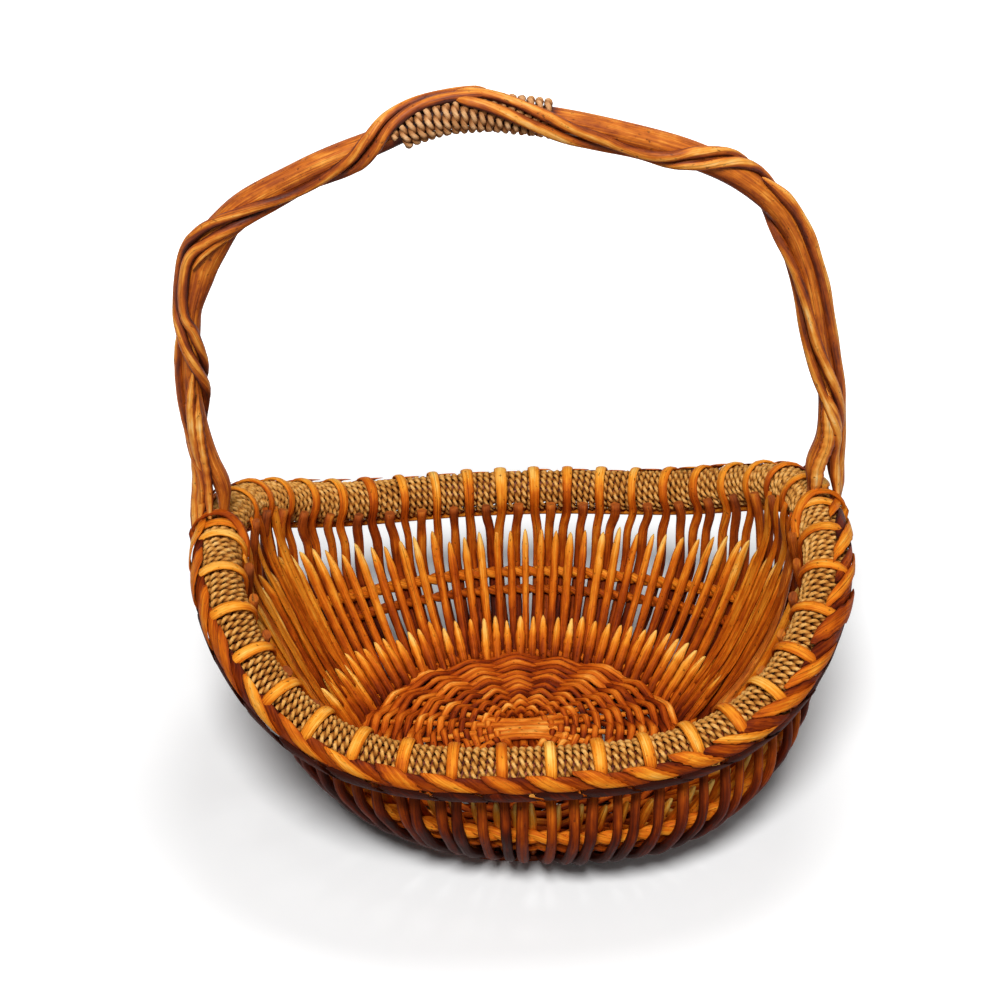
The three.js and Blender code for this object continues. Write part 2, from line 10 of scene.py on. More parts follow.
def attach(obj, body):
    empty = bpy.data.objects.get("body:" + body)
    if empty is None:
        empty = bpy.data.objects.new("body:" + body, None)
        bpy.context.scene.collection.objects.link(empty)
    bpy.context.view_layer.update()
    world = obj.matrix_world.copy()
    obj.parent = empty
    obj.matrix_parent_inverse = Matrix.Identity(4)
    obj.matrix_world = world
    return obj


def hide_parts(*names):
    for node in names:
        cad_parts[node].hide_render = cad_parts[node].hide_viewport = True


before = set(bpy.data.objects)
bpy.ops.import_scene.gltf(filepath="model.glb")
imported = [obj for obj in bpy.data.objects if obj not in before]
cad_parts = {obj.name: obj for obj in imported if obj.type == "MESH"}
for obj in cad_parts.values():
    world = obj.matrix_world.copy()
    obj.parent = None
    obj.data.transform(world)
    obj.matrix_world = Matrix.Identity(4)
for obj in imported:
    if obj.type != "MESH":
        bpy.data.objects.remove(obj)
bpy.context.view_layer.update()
rng = np.random.default_rng(11)

# Millimetres in the part's frame: X along the handle's span, +Y the back, +Z up. A turn goes round the
# basket from the right end by the back. A tone is a place on a colour ramp, from dark to pale.
# Some tones are painted light and shade: they change with where a surface lies or faces, as marked where they
# are set.
MM = 0.001
CLEAR = 0.35
RIGHT_END = 0.0
LEFT_END = 0.5

# Rim
RIM_HALF_LENGTH = 197
RIM_HALF_WIDTH = 166
RIM_SQUARENESS = 2.5
RIM_MID_HEIGHT = 120
RIM_END_RISE = 65
RIM_RISE_POWER = 4.2
ROLL_RADIUS = 15
BACK_CROWDING = 0.0785
SIDE_SPREADING = 0.0885
ROPE_PITCH = 4.7
ROPE_PLY_RADIUS = 1.34
ROPE_PLY_OFFSET = 1.18
ROPE_LAY = 11.5
ROPE_STATIONS_A_TURN = 52
ROPE_DRIFT = 0.5
ROPE_DRIFT_RATES = (97, 151, 233)
ROPE_SIDES = 6
ROPE_TONE = 0.54
ROPE_PAINTED_LIGHT_SWING = 0.34

# Base
BASE_HALF_LENGTH = 122
BASE_HALF_WIDTH = 111
BASE_DOME = 11
STAKE_FOOT_HEIGHT = 6.35
WEAVE_MIDDLE = 12.2
WEAVE_REACH = 118.55
BASE_ROUNDNESS = 0.907
WEAVE_START = 18.6
WEAVE_END = 116
WEAVE_ROUNDS = 12
SPOKES = 20
WEAVE_WAVE_HEIGHT = 4.2
WEAVE_STATIONS_A_STROKE = 9
WEAVE_ROD_RADIUS = 1.6
WEAVE_WIDTH_RATIO = 1.4
WEAVE_WIDENING = 0.6
WEAVE_RADIUS_SPREAD = 0.8
WEAVE_HEIGHT_SPREAD = 0.7
WEAVE_SIZE_SPREAD = 0.12
WEAVE_TONE = 0.5
WEAVE_PAINTED_LIGHT_STEP = 0.24
WEAVE_TONE_SPREAD = 0.16
STICKS_EACH_WAY = 5
STICK_FAN_STEP = 18
SLATH_SPACING = 6.4
SLATH_HALF_LENGTH = 19
STICK_LEVEL_RADIUS = 50
STICK_BEND_SHARE = 0.6
STICK_HALF_WIDTHS = (2.2, 2.4, 2.6, 3.1)
STICK_HALF_THICKNESS = 1.5

# Wall
STAKES = 84
STAKE_RADIUS = 3.1
STAKE_OFFSET = 6.4
WALL_BULGE = 8
CORNER_BULGE = 18
CORNER_BULGE_TURN = 0.88
UPPER_HOOP_RADIUS = 2.3
UPPER_HOOP_ANGLE = 254
UPPER_HOOP_TONE = 0.6
UPPER_HOOP_STATIONS_A_STAKE = 5
ROD_SIDES = 9
ROD_UNEVENNESS = 0.06
ROD_TONE_SPREAD = 0.05
STAKE_LEAN = 0.2
BACK_STAKE_PAINTED_LIGHT = 0.18
STRAP_LIFT = 1.0
BYE_LEAN = 0.1
TIP_LENGTH = 16
TIP_LENGTH_SPREAD = (0.75, 1.2)
TIP_BLUNTNESS = 0.08
TIP_OUTWARD = 0.6
TIP_PALING = 0.16
WALE_SWING_OUT = 1.6
WALE_SWING_UP = 1.5
WALE_STATIONS_A_STAKE = 12

# Border: the leaves, and how they change towards the basket's two ends and by chance
LEAVES = 42
LEAF_STATIONS = 20
LEAF_WIDTHS = ((0, 0.62), (0.1, 0.92), (0.3, 1), (0.7, 1), (0.9, 0.72), (1, 0.14))
LEAF_HALF_THICKNESSES = ((0, 0.35), (0.15, 0.7), (0.85, 0.65), (1, 0.3))
LEAF_RADIUS_PLACES = (0, 0.2, 0.5, 0.8, 1)
LEAF_PAINTED_CREST_LIGHT = 0.12
RIGHT_UNEVENNESS = 1.2
RIGHT_SLIDE = 0.9
LEFT_SLIDE = 0.3
LEFT_CLIMB = 0.62
LOW_CLIMB = 0.12
CHANCES = {"shift": 0.04, "slide": 0.08, "angle": 2.4, "radius": 0.35, "length": 0.06, "tone": 0.05}

# Handle: the arch is in shares of the rim's half length and of the handle's rise
HANDLE_RISE = 287
BOW_ARCH = (
    (-0.985, 0.129), (-1.015, 0.192), (-1.052, 0.348), (-1.034, 0.557), (-1.02, 0.638),
    (-1.002, 0.69), (-0.964, 0.735), (-0.898, 0.782), (-0.665, 0.876), (-0.416, 0.946),
    (-0.254, 0.99), (-0.152, 1), (0.071, 0.986), (0.31, 0.946), (0.548, 0.891), (0.65, 0.857),
    (0.741, 0.812), (0.812, 0.763), (0.863, 0.707), (0.904, 0.638), (0.97, 0.453), (1.015, 0.279),
    (1.015, 0.202), (0.985, 0.129),
)
BOW_RADIUS = 7.2
BOW_LEG_RADIUS = 6
BOW_LEG_TOP_SHARE = 0.62
BOW_ARCH_LOW_SHARE = 0.85
BOW_FOOT_HALF_WIDTH = 6.2
BOW_FOOT_HALF_THICKNESS = 3.4
BOW_FOOT_SHARES = (0.14, 0.5)
BOW_FOOT_OFFSET = -6.35
BOW_ROLL_ANGLES = (230, 100)
CORNER_SHARE = 0.319
CORNER_REACH = 0.036
CORNER_WIDENING = 4.4
CORNER_POWER = 1.5
BOW_SWELL = (
    (0.31, 1), (0.36, 1.14), (0.42, 1.1), (0.47, 1), (0.52, 1), (0.56, 1.1), (0.62, 1.12), (0.68, 1),
)
BOW_LINE_STATIONS = 1601
BOW_STATIONS = 260
BOW_TONE = 0.54

# Ways round the bow: share of its length, degrees from its front to its outer side
LEFT_TWIST = (
    (0.192, 95), (0.225, 190), (0.25, 290), (0.275, 375), (0.295, 425), (0.312, 425), (0.33, 390),
    (0.36, 325), (0.39, 285), (0.414, 320), (0.431, 375), (0.448, 425), (0.465, 450), (0.494, 455),
)
RIGHT_TWIST = (
    (0.808, 90), (0.776, 10), (0.743, -45), (0.695, -85), (0.655, -180), (0.627, -270), (0.603, -355),
    (0.574, -425), (0.545, -390), (0.52, -350), (0.478, -278),
)

# Strands: way round the bow, half width, flatness, press into the bow, and a foot on the roll or none. A
# foot has an end of the basket, degrees round the roll, a lift and a shift to the back
STRANDS = (
    (((0.195, 50), (0.212, 30), (0.235, 6), (0.252, -14)), 3.3, 0.65, 0, (LEFT_END, 40, 2, -7)),
    (((0.195, 14), (0.208, 0), (0.222, -14), (0.237, -30)), 3.1, 0.65, 0, (LEFT_END, 68, 2, -8)),
    (((0.206, 80), (0.22, 86), (0.238, 90), (0.258, 86), (0.276, 66)),
     3.4, 0.8, 1.0, (LEFT_END, 4, 2.4, -5)),
    (((0.312, 365), (0.33, 330), (0.352, 275), (0.375, 232), (0.398, 225)), 3.0, 0.8, 0, None),
    (((0.78, 98), (0.755, 90), (0.72, 75), (0.675, 70), (0.64, 62)), 4.0, 1, 1.4, (RIGHT_END, 4, 2.4, 11)),
    (((0.828, 8), (0.81, 4), (0.79, -2), (0.77, -14)), 5.0, 0.45, 0, (RIGHT_END, 96, 2, -5)),
    (((0.806, 74), (0.796, 52), (0.785, 20), (0.773, -22), (0.761, -58)),
     2.9, 0.8, 0, (RIGHT_END, 38, 2.6, -4)),
)
FOOT_TAPER_LENGTH = 16
FOOT_NARROWING = 0.5
SHARE_STRETCH = 1000
STRAND_STATIONS = 170
STRAND_SIDES = 12
STRAND_POINT = 20
STRAND_POINT_POWER = 0.6
STRAND_BLUNTNESS = 0.12
STRAND_TONE = 0.6
STRAND_TONE_SPREAD = 0.04
STRAND_PAINTED_OUTER_LIGHT = 0.16
TWIST_RADIUS = 3.4
TWIST_FLATNESS = 0.9
TWIST_PRESS = 0.4
TWIST_POINT = 7
TWIST_HALF_SPACING = 4.3
TWIST_FOOT_ANGLE = 40
TWIST_FOOT_SPACING = 7.4
GRIP_START = 0.445
GRIP_TURNS = 18
GRIP_PITCH = 5.3
GRIP_ROPE_RADIUS = 1.95
GRIP_RAMP = 0.03
GRIP_LAYS_A_TURN = 4.6
GRIP_PLY_RADIUS = 1.68
GRIP_PLY_OFFSET = 1.0
GRIP_SINK = 1.4
GRIP_STATIONS_A_TURN = 50
GRIP_TONE = 0.5
GRIP_SHADE = 0.48
GRIP_SHADE_REACH = 0.004

# Ties: a band's stations are a shift in stake spacings, degrees round the roll and a radius
TIE_OFFSET = 0.75
BAND_STATIONS = (
    (1.5, 195, 16.5), (1.1, 160, 17.0), (0.75, 130, 18.6), (0.5, 100, 20.6), (0.4, 72, 20.6),
    (0.34, 45, 20.2), (0.3, 20, 19.4), (0.4, -8, 18.0),
)
BAND_FINISH = (3.4, 1.4, 0.56, 0.0)

# Bark strips
STRIP_POSITIONS = (37.6, 38.7, 39.8, 41, 43.2, 44.4, 0.4, 1.5, 2.6, 3.7)
STRIP_WIDTH_SPREAD = (0.6, 1.15)
STRIP_PALING = 0.08
STRIP_TONE_SPREAD = 0.06

# Camera, fitted to the photograph's frame
CAMERA_TARGET = (-13.759, 0, 212.286)
CAMERA_DISTANCE = 1386.951
CAMERA_ELEVATION = 31.032
CAMERA_YAW = -2.44
CAMERA_ROLL = -0.756
CAMERA_LENS = 76.695
CAMERA_SENSOR = 36

# Stage, in metres: the floor's glow by distance, and lamps with place, target, diameter and watts
FLOOR_HALF_SIZE = 6.0
FLOOR_HEIGHT = -0.0004
FLOOR_SEEN = (0.98, 0.98, 0.98, 1)
FLOOR_UNSEEN = (0.24, 0.23, 0.22, 1)
FLOOR_GLOW = ((0.22, 0.0), (0.36, 0.16), (0.7, 0.8), (1.0, 1.0))
AMBIENT = 0.09
LAMPS = (
    ("key", (-0.3, -2.35, 3.05), (0, 0, 0.15), 1.0, 144),
    ("fill", (2.4, -2.2, 1.9), (0, 0, 0.2), 1.8, 9),
    ("top", (0.5, 0.6, 4.0), (0, 0, 0.2), 1.2, 28),
)

UP = np.array((0.0, 0.0, 1.0))
FRONT = np.array((0.0, -1.0, 0.0))
LEVEL = 1 - UP
TAU = 2 * math.pi
ANGLE_STEPS = 6000

# Steps for slopes, in shares of the rim and of the bow
SHARE_STEP = 1e-4
BOW_SHARE_STEP = 0.002


# Curves
def unit(vectors):
    """Vectors scaled to length 1."""
    return vectors / np.linalg.norm(vectors, axis=-1, keepdims=True)


def rim_by_angle(angle):
    """Superellipse in plan; the height grows with a power of the distance from the middle along X."""
    c = np.cos(angle)
    s = np.sin(angle)
    reach = np.abs(c / RIM_HALF_LENGTH) ** RIM_SQUARENESS + np.abs(s / RIM_HALF_WIDTH) ** RIM_SQUARENESS
    radius = reach ** (-1 / RIM_SQUARENESS)
    height = RIM_MID_HEIGHT + RIM_END_RISE * np.abs(radius * c / RIM_HALF_LENGTH) ** RIM_RISE_POWER
    return np.stack([radius * c, radius * s, height], axis=-1)


def foot_by_angle(angle):
    """Ellipse on which the stakes leave the edge of the base."""
    height = np.full_like(angle, STAKE_FOOT_HEIGHT)
    return np.stack([BASE_HALF_LENGTH * np.cos(angle), BASE_HALF_WIDTH * np.sin(angle), height], axis=-1)


ANGLES = np.linspace(0, TAU, ANGLE_STEPS + 1)


def lengths_along(points):
    """Running length of each run at its points."""
    steps = np.linalg.norm(np.diff(points, axis=-2), axis=-1)
    zero = np.zeros(steps.shape[:-1] + (1,))
    return np.concatenate([zero, np.cumsum(steps, axis=-1)], axis=-1)


RIM_LENGTHS = lengths_along(rim_by_angle(ANGLES))
FOOT_LENGTHS = lengths_along(foot_by_angle(ANGLES))


def on_rim(share):
    """Point at a share of the rim's length."""
    return rim_by_angle(np.interp(np.mod(share, 1), RIM_LENGTHS / RIM_LENGTHS[-1], ANGLES))


def on_foot(turn):
    """Point at a share of the length of the base's edge."""
    return foot_by_angle(np.interp(np.mod(turn, 1), FOOT_LENGTHS / FOOT_LENGTHS[-1], ANGLES))


def rim_share(turn):
    """Share of the rim at a share of the stakes, which crowd at the back and spread at the ends."""
    angle = TAU * (turn - 0.25)
    return turn - BACK_CROWDING * np.sin(angle) / TAU - SIDE_SPREADING * np.sin(2 * angle) / (2 * TAU)


def rim_axes(share):
    """Centre of the roll with its tangent, its level outward direction and the upward one square to both."""
    along = unit(on_rim(share + SHARE_STEP) - on_rim(share - SHARE_STEP))
    out = unit(np.cross(along, UP))
    return on_rim(share), along, out, np.cross(out, along)


def roll_direction(turn, degrees):
    """Direction from the roll's centre: 0 degrees outward, 90 up, 180 inward."""
    _, _, out, up = rim_axes(rim_share(turn))
    angle = np.radians(degrees)
    return out * np.expand_dims(np.cos(angle), -1) + up * np.expand_dims(np.sin(angle), -1)


def roll_point(turn, degrees, radius):
    """Point at a radius from the roll's centre in such a direction."""
    centre = rim_axes(rim_share(turn))[0]
    return centre + roll_direction(turn, degrees) * np.expand_dims(radius, -1)


def wall_axes(turn):
    """Foot, rise to the roll's centre, outward normal and bulge of the wall at a share of the stakes."""
    foot = on_foot(turn)
    foot_along = unit(on_foot(turn + SHARE_STEP) - on_foot(turn - SHARE_STEP))
    centre, rim_along, _, _ = rim_axes(rim_share(turn))
    rise = centre - foot
    out = unit(np.cross(unit(foot_along + rim_along), rise))
    corner = np.maximum(0, np.cos(TAU * (turn - CORNER_BULGE_TURN)))
    return foot, rise, out, WALL_BULGE + CORNER_BULGE * corner ** 2


def wall_point(turn, share, offset):
    """Point at a share of the wall's height, moved out by the bulge's parabola plus an offset."""
    foot, rise, out, bulge = wall_axes(turn)
    lift = offset + bulge * 4 * share * (1 - share)
    return foot + rise * np.expand_dims(share, -1) + out * np.expand_dims(lift, -1)


def wall_out(turn):
    """Outward normal of the wall."""
    return wall_axes(turn)[2]


def position_turn(position):
    """Turn of a numbered stake; 0 and 1 stand on either side of the right end."""
    return (position - 0.5) / STAKES


def through(points, extras, stations):
    """Hermite curves through rows of points, knots at chord lengths, slopes averaged by the chords.

    Values in extras are mixed linearly between the same knots.
    """
    chord = np.linalg.norm(np.diff(points, axis=1), axis=2)
    knots = lengths_along(points)
    slope = np.diff(points, axis=1) / chord[..., None]
    before = chord[:, :-1, None]
    after = chord[:, 1:, None]
    inner = (slope[:, :-1] * after + slope[:, 1:] * before) / (before + after)
    tangent = np.concatenate([slope[:, :1], inner, slope[:, -1:]], axis=1)
    at = np.linspace(0, 1, stations) * knots[:, -1:]
    cell = np.sum(at[:, :, None] >= knots[:, None, 1:-1], axis=2)
    row = np.arange(len(points))[:, None]
    span = chord[row, cell][..., None]
    t = (at - knots[row, cell])[..., None] / span
    curve = (2 * t ** 3 - 3 * t ** 2 + 1) * points[row, cell]
    curve += (t ** 3 - 2 * t ** 2 + t) * span * tangent[row, cell]
    curve += (3 * t ** 2 - 2 * t ** 3) * points[row, cell + 1]
    curve += (t ** 3 - t ** 2) * span * tangent[row, cell + 1]
    return curve, extras[row, cell] * (1 - t) + extras[row, cell + 1] * t


def columns(values):
    """The first three columns as vectors, then each further column by itself."""
    return values[..., :3], *np.moveaxis(values[..., 3:], -1, 0)


def profile(at, table):
    """Value at a place in a table of places and values, mixed linearly."""
    places, values = zip(*table)
    return np.interp(at, places, values)


# Meshes
def ripple(rows, count, amount, waves=4, rate=6):
    """Smooth random factor about 1 along each rod: a mean of sines with random rates and phases."""
    at = np.linspace(0, 1, count)
    phase = rng.uniform(0, TAU, (rows, waves, 1))
    speed = rng.uniform(0.5, rate, (rows, waves, 1))
    return 1 + amount * np.mean(np.sin(TAU * speed * at + phase), axis=1) * 2


def section_axes(centre, normal, closed, across):
    """Directions across and deep at each section; across is square to run and normal unless it is given."""
    if closed:
        ahead = np.roll(centre, -1, axis=1) - np.roll(centre, 1, axis=1)
    else:
        ahead = np.gradient(centre, axis=1)
    along = unit(ahead)
    if across is None:
        across = unit(np.cross(along, normal))
    return across, unit(np.cross(across, along))


def tube_faces(index, closed):
    """Corners of the quads along each run, and of the caps at both ends of an open one."""
    here = index if closed else index[:, :-1]
    onward = np.roll(index, -1, axis=1) if closed else index[:, 1:]
    quads = np.stack([here, onward, np.roll(onward, -1, axis=2), np.roll(here, -1, axis=2)], axis=-1)
    caps = np.concatenate([index[:, 0], index[:, -1, ::-1]])
    return quads.reshape(-1, 4), caps[:0] if closed else caps


def tube_uv(centre, girth, sides, closed):
    """UV at the quads' corners: the length along the run and the length round the section."""
    closing = centre[:, :1] if closed else centre[:, :0]
    length = lengths_along(np.concatenate([centre, closing], axis=1))
    shape = (len(centre), length.shape[1] - 1, sides)
    u0 = np.broadcast_to(length[:, :-1, None], shape)
    u1 = np.broadcast_to(length[:, 1:, None], shape)
    v0 = np.broadcast_to(girth * np.arange(sides) / sides, shape)
    v1 = v0 + girth / sides
    corners = [np.stack(pair, axis=-1) for pair in ((u0, v0), (u1, v0), (u1, v1), (u0, v1))]
    return np.stack(corners, axis=-2).reshape(-1, 2)


def rods(
    centre, normal, width, thick, tone, sides=8, closed=False, across=None, worn=0.0, edge=0.0, under=0.0,
):
    """Tubes of elliptic section: centre + across * width * cos(a) + deep * thick * sin(a).

    The tone falls by the edge's amount times cos(a) squared, a painted shade at the rod's sides, and by the
    underside's amount times how far the surface faces down, a painted shade underneath.
    """
    rows, count = centre.shape[:2]
    shape = (rows, count, sides)
    across, deep = section_axes(centre, normal, closed, across)
    angle = TAU * np.arange(sides) / sides
    x = np.broadcast_to(width, (rows, count))[..., None] * np.cos(angle)
    y = np.broadcast_to(thick, (rows, count))[..., None] * np.sin(angle)
    points = centre[:, :, None] + across[:, :, None] * x[..., None] + deep[:, :, None] * y[..., None]
    # How far each point faces down, for the painted shade on undersides
    down = np.maximum(0, -across[..., 2:] * np.cos(angle) - deep[..., 2:] * np.sin(angle))
    quads, caps = tube_faces(np.arange(rows * count * sides).reshape(shape), closed)
    girth = math.pi * np.mean(np.broadcast_to(width + thick, (rows, count)), axis=1)[:, None, None]
    end_uv = np.stack([x[:, 0], y[:, 0]], axis=-1)
    cap_uv = np.concatenate([end_uv, end_uv])[:len(caps)].reshape(-1, 2)

    def spread(values):
        values = np.asarray(values, dtype=float)
        if values.ndim == 2:
            values = values[..., None]
        return np.broadcast_to(values, shape).ravel()

    return {
        "points": points.reshape(-1, 3),
        "faces": ((quads, tube_uv(centre, girth, sides, closed)), (caps, cap_uv)),
        "tone": spread(tone) - edge * np.tile(np.cos(angle) ** 2, rows * count) - under * down.ravel(),
        "seed": spread(rng.uniform(0, 1, (rows, 1))),
        "worn": spread(worn),
    }


def make_piece(name, batches, material, nodes=()):
    """One mesh object from batches of tubes, with smooth quads and flat caps."""
    points = np.concatenate([batch["points"] for batch in batches]) * MM
    loops = []
    sizes = []
    uvs = []
    first = 0
    for batch in batches:
        for faces, uv in batch["faces"]:
            loops.append((faces + first).ravel())
            sizes.append(np.full(len(faces), faces.shape[1]))
            uvs.append(uv * MM)
        first += len(batch["points"])
    loops = np.concatenate(loops).astype(np.int32)
    sizes = np.concatenate(sizes)
    starts = np.concatenate([[0], np.cumsum(sizes)[:-1]]).astype(np.int32)
    mesh = bpy.data.meshes.new(name)
    mesh.vertices.add(len(points))
    mesh.vertices.foreach_set("co", points.ravel())
    mesh.loops.add(len(loops))
    mesh.loops.foreach_set("vertex_index", loops)
    mesh.polygons.add(len(sizes))
    mesh.polygons.foreach_set("loop_start", starts)
    layer = mesh.uv_layers.new(name="UVMap")
    layer.uv.foreach_set("vector", np.concatenate(uvs).ravel())
    for key in ("tone", "seed", "worn"):
        values = np.concatenate([batch[key] for batch in batches])
        mesh.attributes.new(key, "FLOAT", "POINT").data.foreach_set("value", values)
    mesh.polygons.foreach_set("use_smooth", sizes == 4)
    mesh.update()
    mesh.materials.append(material)
    piece = bpy.data.objects.new(name, mesh)
    bpy.context.collection.objects.link(piece)
    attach(piece, "root")
    if nodes:
        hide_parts(*nodes)


# Materials
def srgb(red, green, blue):
    """Linear colour from 8-bit display values."""
    values = np.array((red, green, blue)) / 255
    linear = np.where(values <= 0.04045, values / 12.92, ((values + 0.055) / 1.055) ** 2.4)
    return (*linear, 1.0)


# Distance in noise space between the patterns of different rods
SEED_SPREAD = 61.0


class Nodes:
    """Short calls for building the node tree of a material or of the world."""

    def __init__(self, owner, shader="Principled BSDF"):
        owner.use_nodes = True
        self.owner = owner
        self.tree = owner.node_tree
        self.shader = self.tree.nodes[shader]

    def put(self, value, socket):
        """Gives an input a value or another node's output."""
        if isinstance(value, bpy.types.NodeSocket):
            self.tree.links.new(value, socket)
        else:
            socket.default_value = value

    def surface(self, name, value):
        self.put(value, self.shader.inputs[name])

    def node(self, kind, *inputs, **settings):
        """A new node with its settings; each input is a pair of its name or number and what goes in."""
        node = self.tree.nodes.new("ShaderNode" + kind)
        for name, value in settings.items():
            setattr(node, name, value)
        for name, value in inputs:
            self.put(value, node.inputs[name])
        return node

    def attribute(self, name):
        return self.node("Attribute", attribute_name=name).outputs["Fac"]

    def math(self, operation, first, second=0.0, clamp=False):
        node = self.node("Math", (0, first), (1, second), operation=operation, use_clamp=clamp)
        return node.outputs[0]

    def coordinates(self, scale, seed):
        """Own lengths along and around the piece times a scale, with a third value that tells rods apart."""
        uv = self.node("UVMap", uv_map="UVMap").outputs["UV"]
        parts = self.node("SeparateXYZ", (0, uv)).outputs
        along = self.math("MULTIPLY", parts["X"], scale[0])
        around = self.math("MULTIPLY", parts["Y"], scale[1])
        apart = self.math("MULTIPLY", seed, SEED_SPREAD)
        return self.node("CombineXYZ", (0, along), (1, around), (2, apart)).outputs[0]

    def object_coordinates(self):
        return self.node("TexCoord").outputs["Object"]

    def noise(self, vector, scale=1.0, detail=3.0, roughness=0.55):
        shape = (("Scale", scale), ("Detail", detail), ("Roughness", roughness))
        return self.node("TexNoise", ("Vector", vector), *shape).outputs["Fac"]

    def ramp(self, position, stops):
        node = self.node("ValToRGB", ("Fac", position))
        elements = node.color_ramp.elements
        while len(elements) < len(stops):
            elements.new(0.5)
        for element, (place, colour) in zip(elements, stops):
            element.position = place
            element.color = colour
        return node.outputs["Color"]

    def range(self, value, low, high):
        """Maps 0..1 to low..high."""
        return self.math("ADD", self.math("MULTIPLY", value, high - low), low)

    def above(self, value, threshold, gain):
        """How far a value is over a threshold, times a gain, within 0..1."""
        return self.math("MULTIPLY", self.math("SUBTRACT", value, threshold), gain, clamp=True)

    def mix(self, share, first, second):
        node = self.node("Mix", ("Factor", share), (6, first), (7, second), data_type="RGBA")
        return node.outputs[2]

    def bump(self, height, strength, distance):
        node = self.node("Bump", ("Height", height), ("Strength", strength), ("Distance", distance))
        self.surface("Normal", node.outputs["Normal"])


def colour_stops(*stops):
    """Ramp stops from rows of a place and 8-bit red, green and blue."""
    return tuple((place, srgb(*colour)) for place, *colour in stops)


WILLOW_STOPS = colour_stops(
    (0.0, 46, 10, 2), (0.2, 100, 30, 4), (0.4, 158, 64, 8),
    (0.58, 206, 102, 16), (0.76, 238, 150, 40), (1.0, 254, 206, 108),
)
HANDLE_STOPS = colour_stops(
    (0.0, 42, 11, 3), (0.2, 90, 32, 7), (0.4, 152, 68, 14),
    (0.58, 202, 108, 26), (0.76, 236, 158, 62), (1.0, 252, 212, 140),
)
BASE_STOPS = colour_stops(
    (0.0, 44, 9, 2), (0.3, 118, 38, 5), (0.55, 180, 78, 12), (0.8, 222, 120, 30), (1.0, 246, 172, 76),
)
ROPE_STOPS = colour_stops(
    (0.0, 34, 14, 3), (0.28, 92, 46, 12), (0.55, 160, 96, 34), (0.8, 214, 150, 70), (1.0, 242, 192, 116),
)
GRIP_ROPE_STOPS = colour_stops(
    (0.0, 32, 14, 5), (0.28, 98, 54, 26), (0.55, 164, 106, 60), (0.8, 212, 156, 104), (1.0, 240, 200, 154),
)
DARK_WILLOW = srgb(40, 12, 3)
BARE_WILLOW = srgb(122, 82, 46)

# Noise scales: waves a metre along the rod and around it
STREAK_SCALE = (38, 950)
BLOTCH_SCALE = (55, 120)
SPECK_SCALE = (330, 560)
SPLIT_SCALE = (9, 1500)
FIBRE_SCALE = (130, 2600)


def willow(name, stops, streak_amount=0.3, blotch_amount=0.28, gloss=0.06, coat=0.0):
    """Varnished willow: the rod's tone, streaks, blotches, dark specks and splits, and bare worn ends."""
    n = Nodes(bpy.data.materials.new(name))
    seed = n.attribute("seed")
    streak = n.noise(n.coordinates(STREAK_SCALE, seed), detail=4.0, roughness=0.6)
    blotch = n.noise(n.coordinates(BLOTCH_SCALE, seed), roughness=0.6)
    speck = n.noise(n.coordinates(SPECK_SCALE, seed), detail=2.0, roughness=0.5)
    split = n.noise(n.coordinates(SPLIT_SCALE, seed), detail=2.0, roughness=0.5)
    place = n.math("ADD", n.attribute("tone"), n.range(streak, -streak_amount, streak_amount))
    place = n.math("ADD", place, n.range(blotch, -blotch_amount, blotch_amount))
    place = n.math("ADD", place, n.range(seed, -0.1, 0.1))
    specks = n.math("MULTIPLY", n.above(speck, threshold=0.64, gain=8.0), 0.8)
    splits = n.math("MULTIPLY", n.above(split, threshold=0.6, gain=7.0), 0.6)
    dark = n.math("MAXIMUM", specks, splits)
    bare = n.math("MULTIPLY", n.attribute("worn"), n.range(streak, 0.3, 1.1), clamp=True)
    colour = n.mix(dark, n.ramp(place, stops), DARK_WILLOW)
    n.surface("Base Color", n.mix(bare, colour, BARE_WILLOW))
    n.surface("Roughness", n.range(streak, 0.42, 0.7))
    n.surface("Specular IOR Level", gloss)
    n.surface("Coat Weight", coat)
    n.surface("Coat Roughness", 0.3)
    grain = n.math("ADD", streak, n.math("MULTIPLY", dark, -0.7))
    n.bump(grain, strength=0.8, distance=0.0007)
    return n.owner


def seagrass(name, stops):
    """Twisted grass: fine fibres along the ply, uneven dye, and painted shade in the crevices and light on
    the crests, from the piece's tone.
    """
    n = Nodes(bpy.data.materials.new(name))
    fibre = n.noise(n.coordinates(FIBRE_SCALE, n.attribute("seed")), roughness=0.6)
    patch = n.noise(n.object_coordinates(), scale=90.0, roughness=0.6)
    place = n.math("ADD", n.attribute("tone"), n.range(fibre, -0.32, 0.32))
    place = n.math("ADD", place, n.range(patch, -0.3, 0.3))
    n.surface("Base Color", n.ramp(place, stops))
    n.surface("Roughness", n.range(fibre, 0.62, 0.88))
    n.surface("Specular IOR Level", 0.1)
    n.bump(fibre, strength=0.7, distance=0.0005)
    return n.owner


WILLOW = willow("willow", WILLOW_STOPS)
HANDLE_WILLOW = willow(
    "handle_willow", HANDLE_STOPS, streak_amount=0.36, blotch_amount=0.36, gloss=0.2, coat=0.06,
)
BASE_WILLOW = willow("base_willow", BASE_STOPS, streak_amount=0.34, blotch_amount=0.4)
ROPE = seagrass("seagrass", ROPE_STOPS)
GRIP_ROPE = seagrass("grip_seagrass", GRIP_ROPE_STOPS)

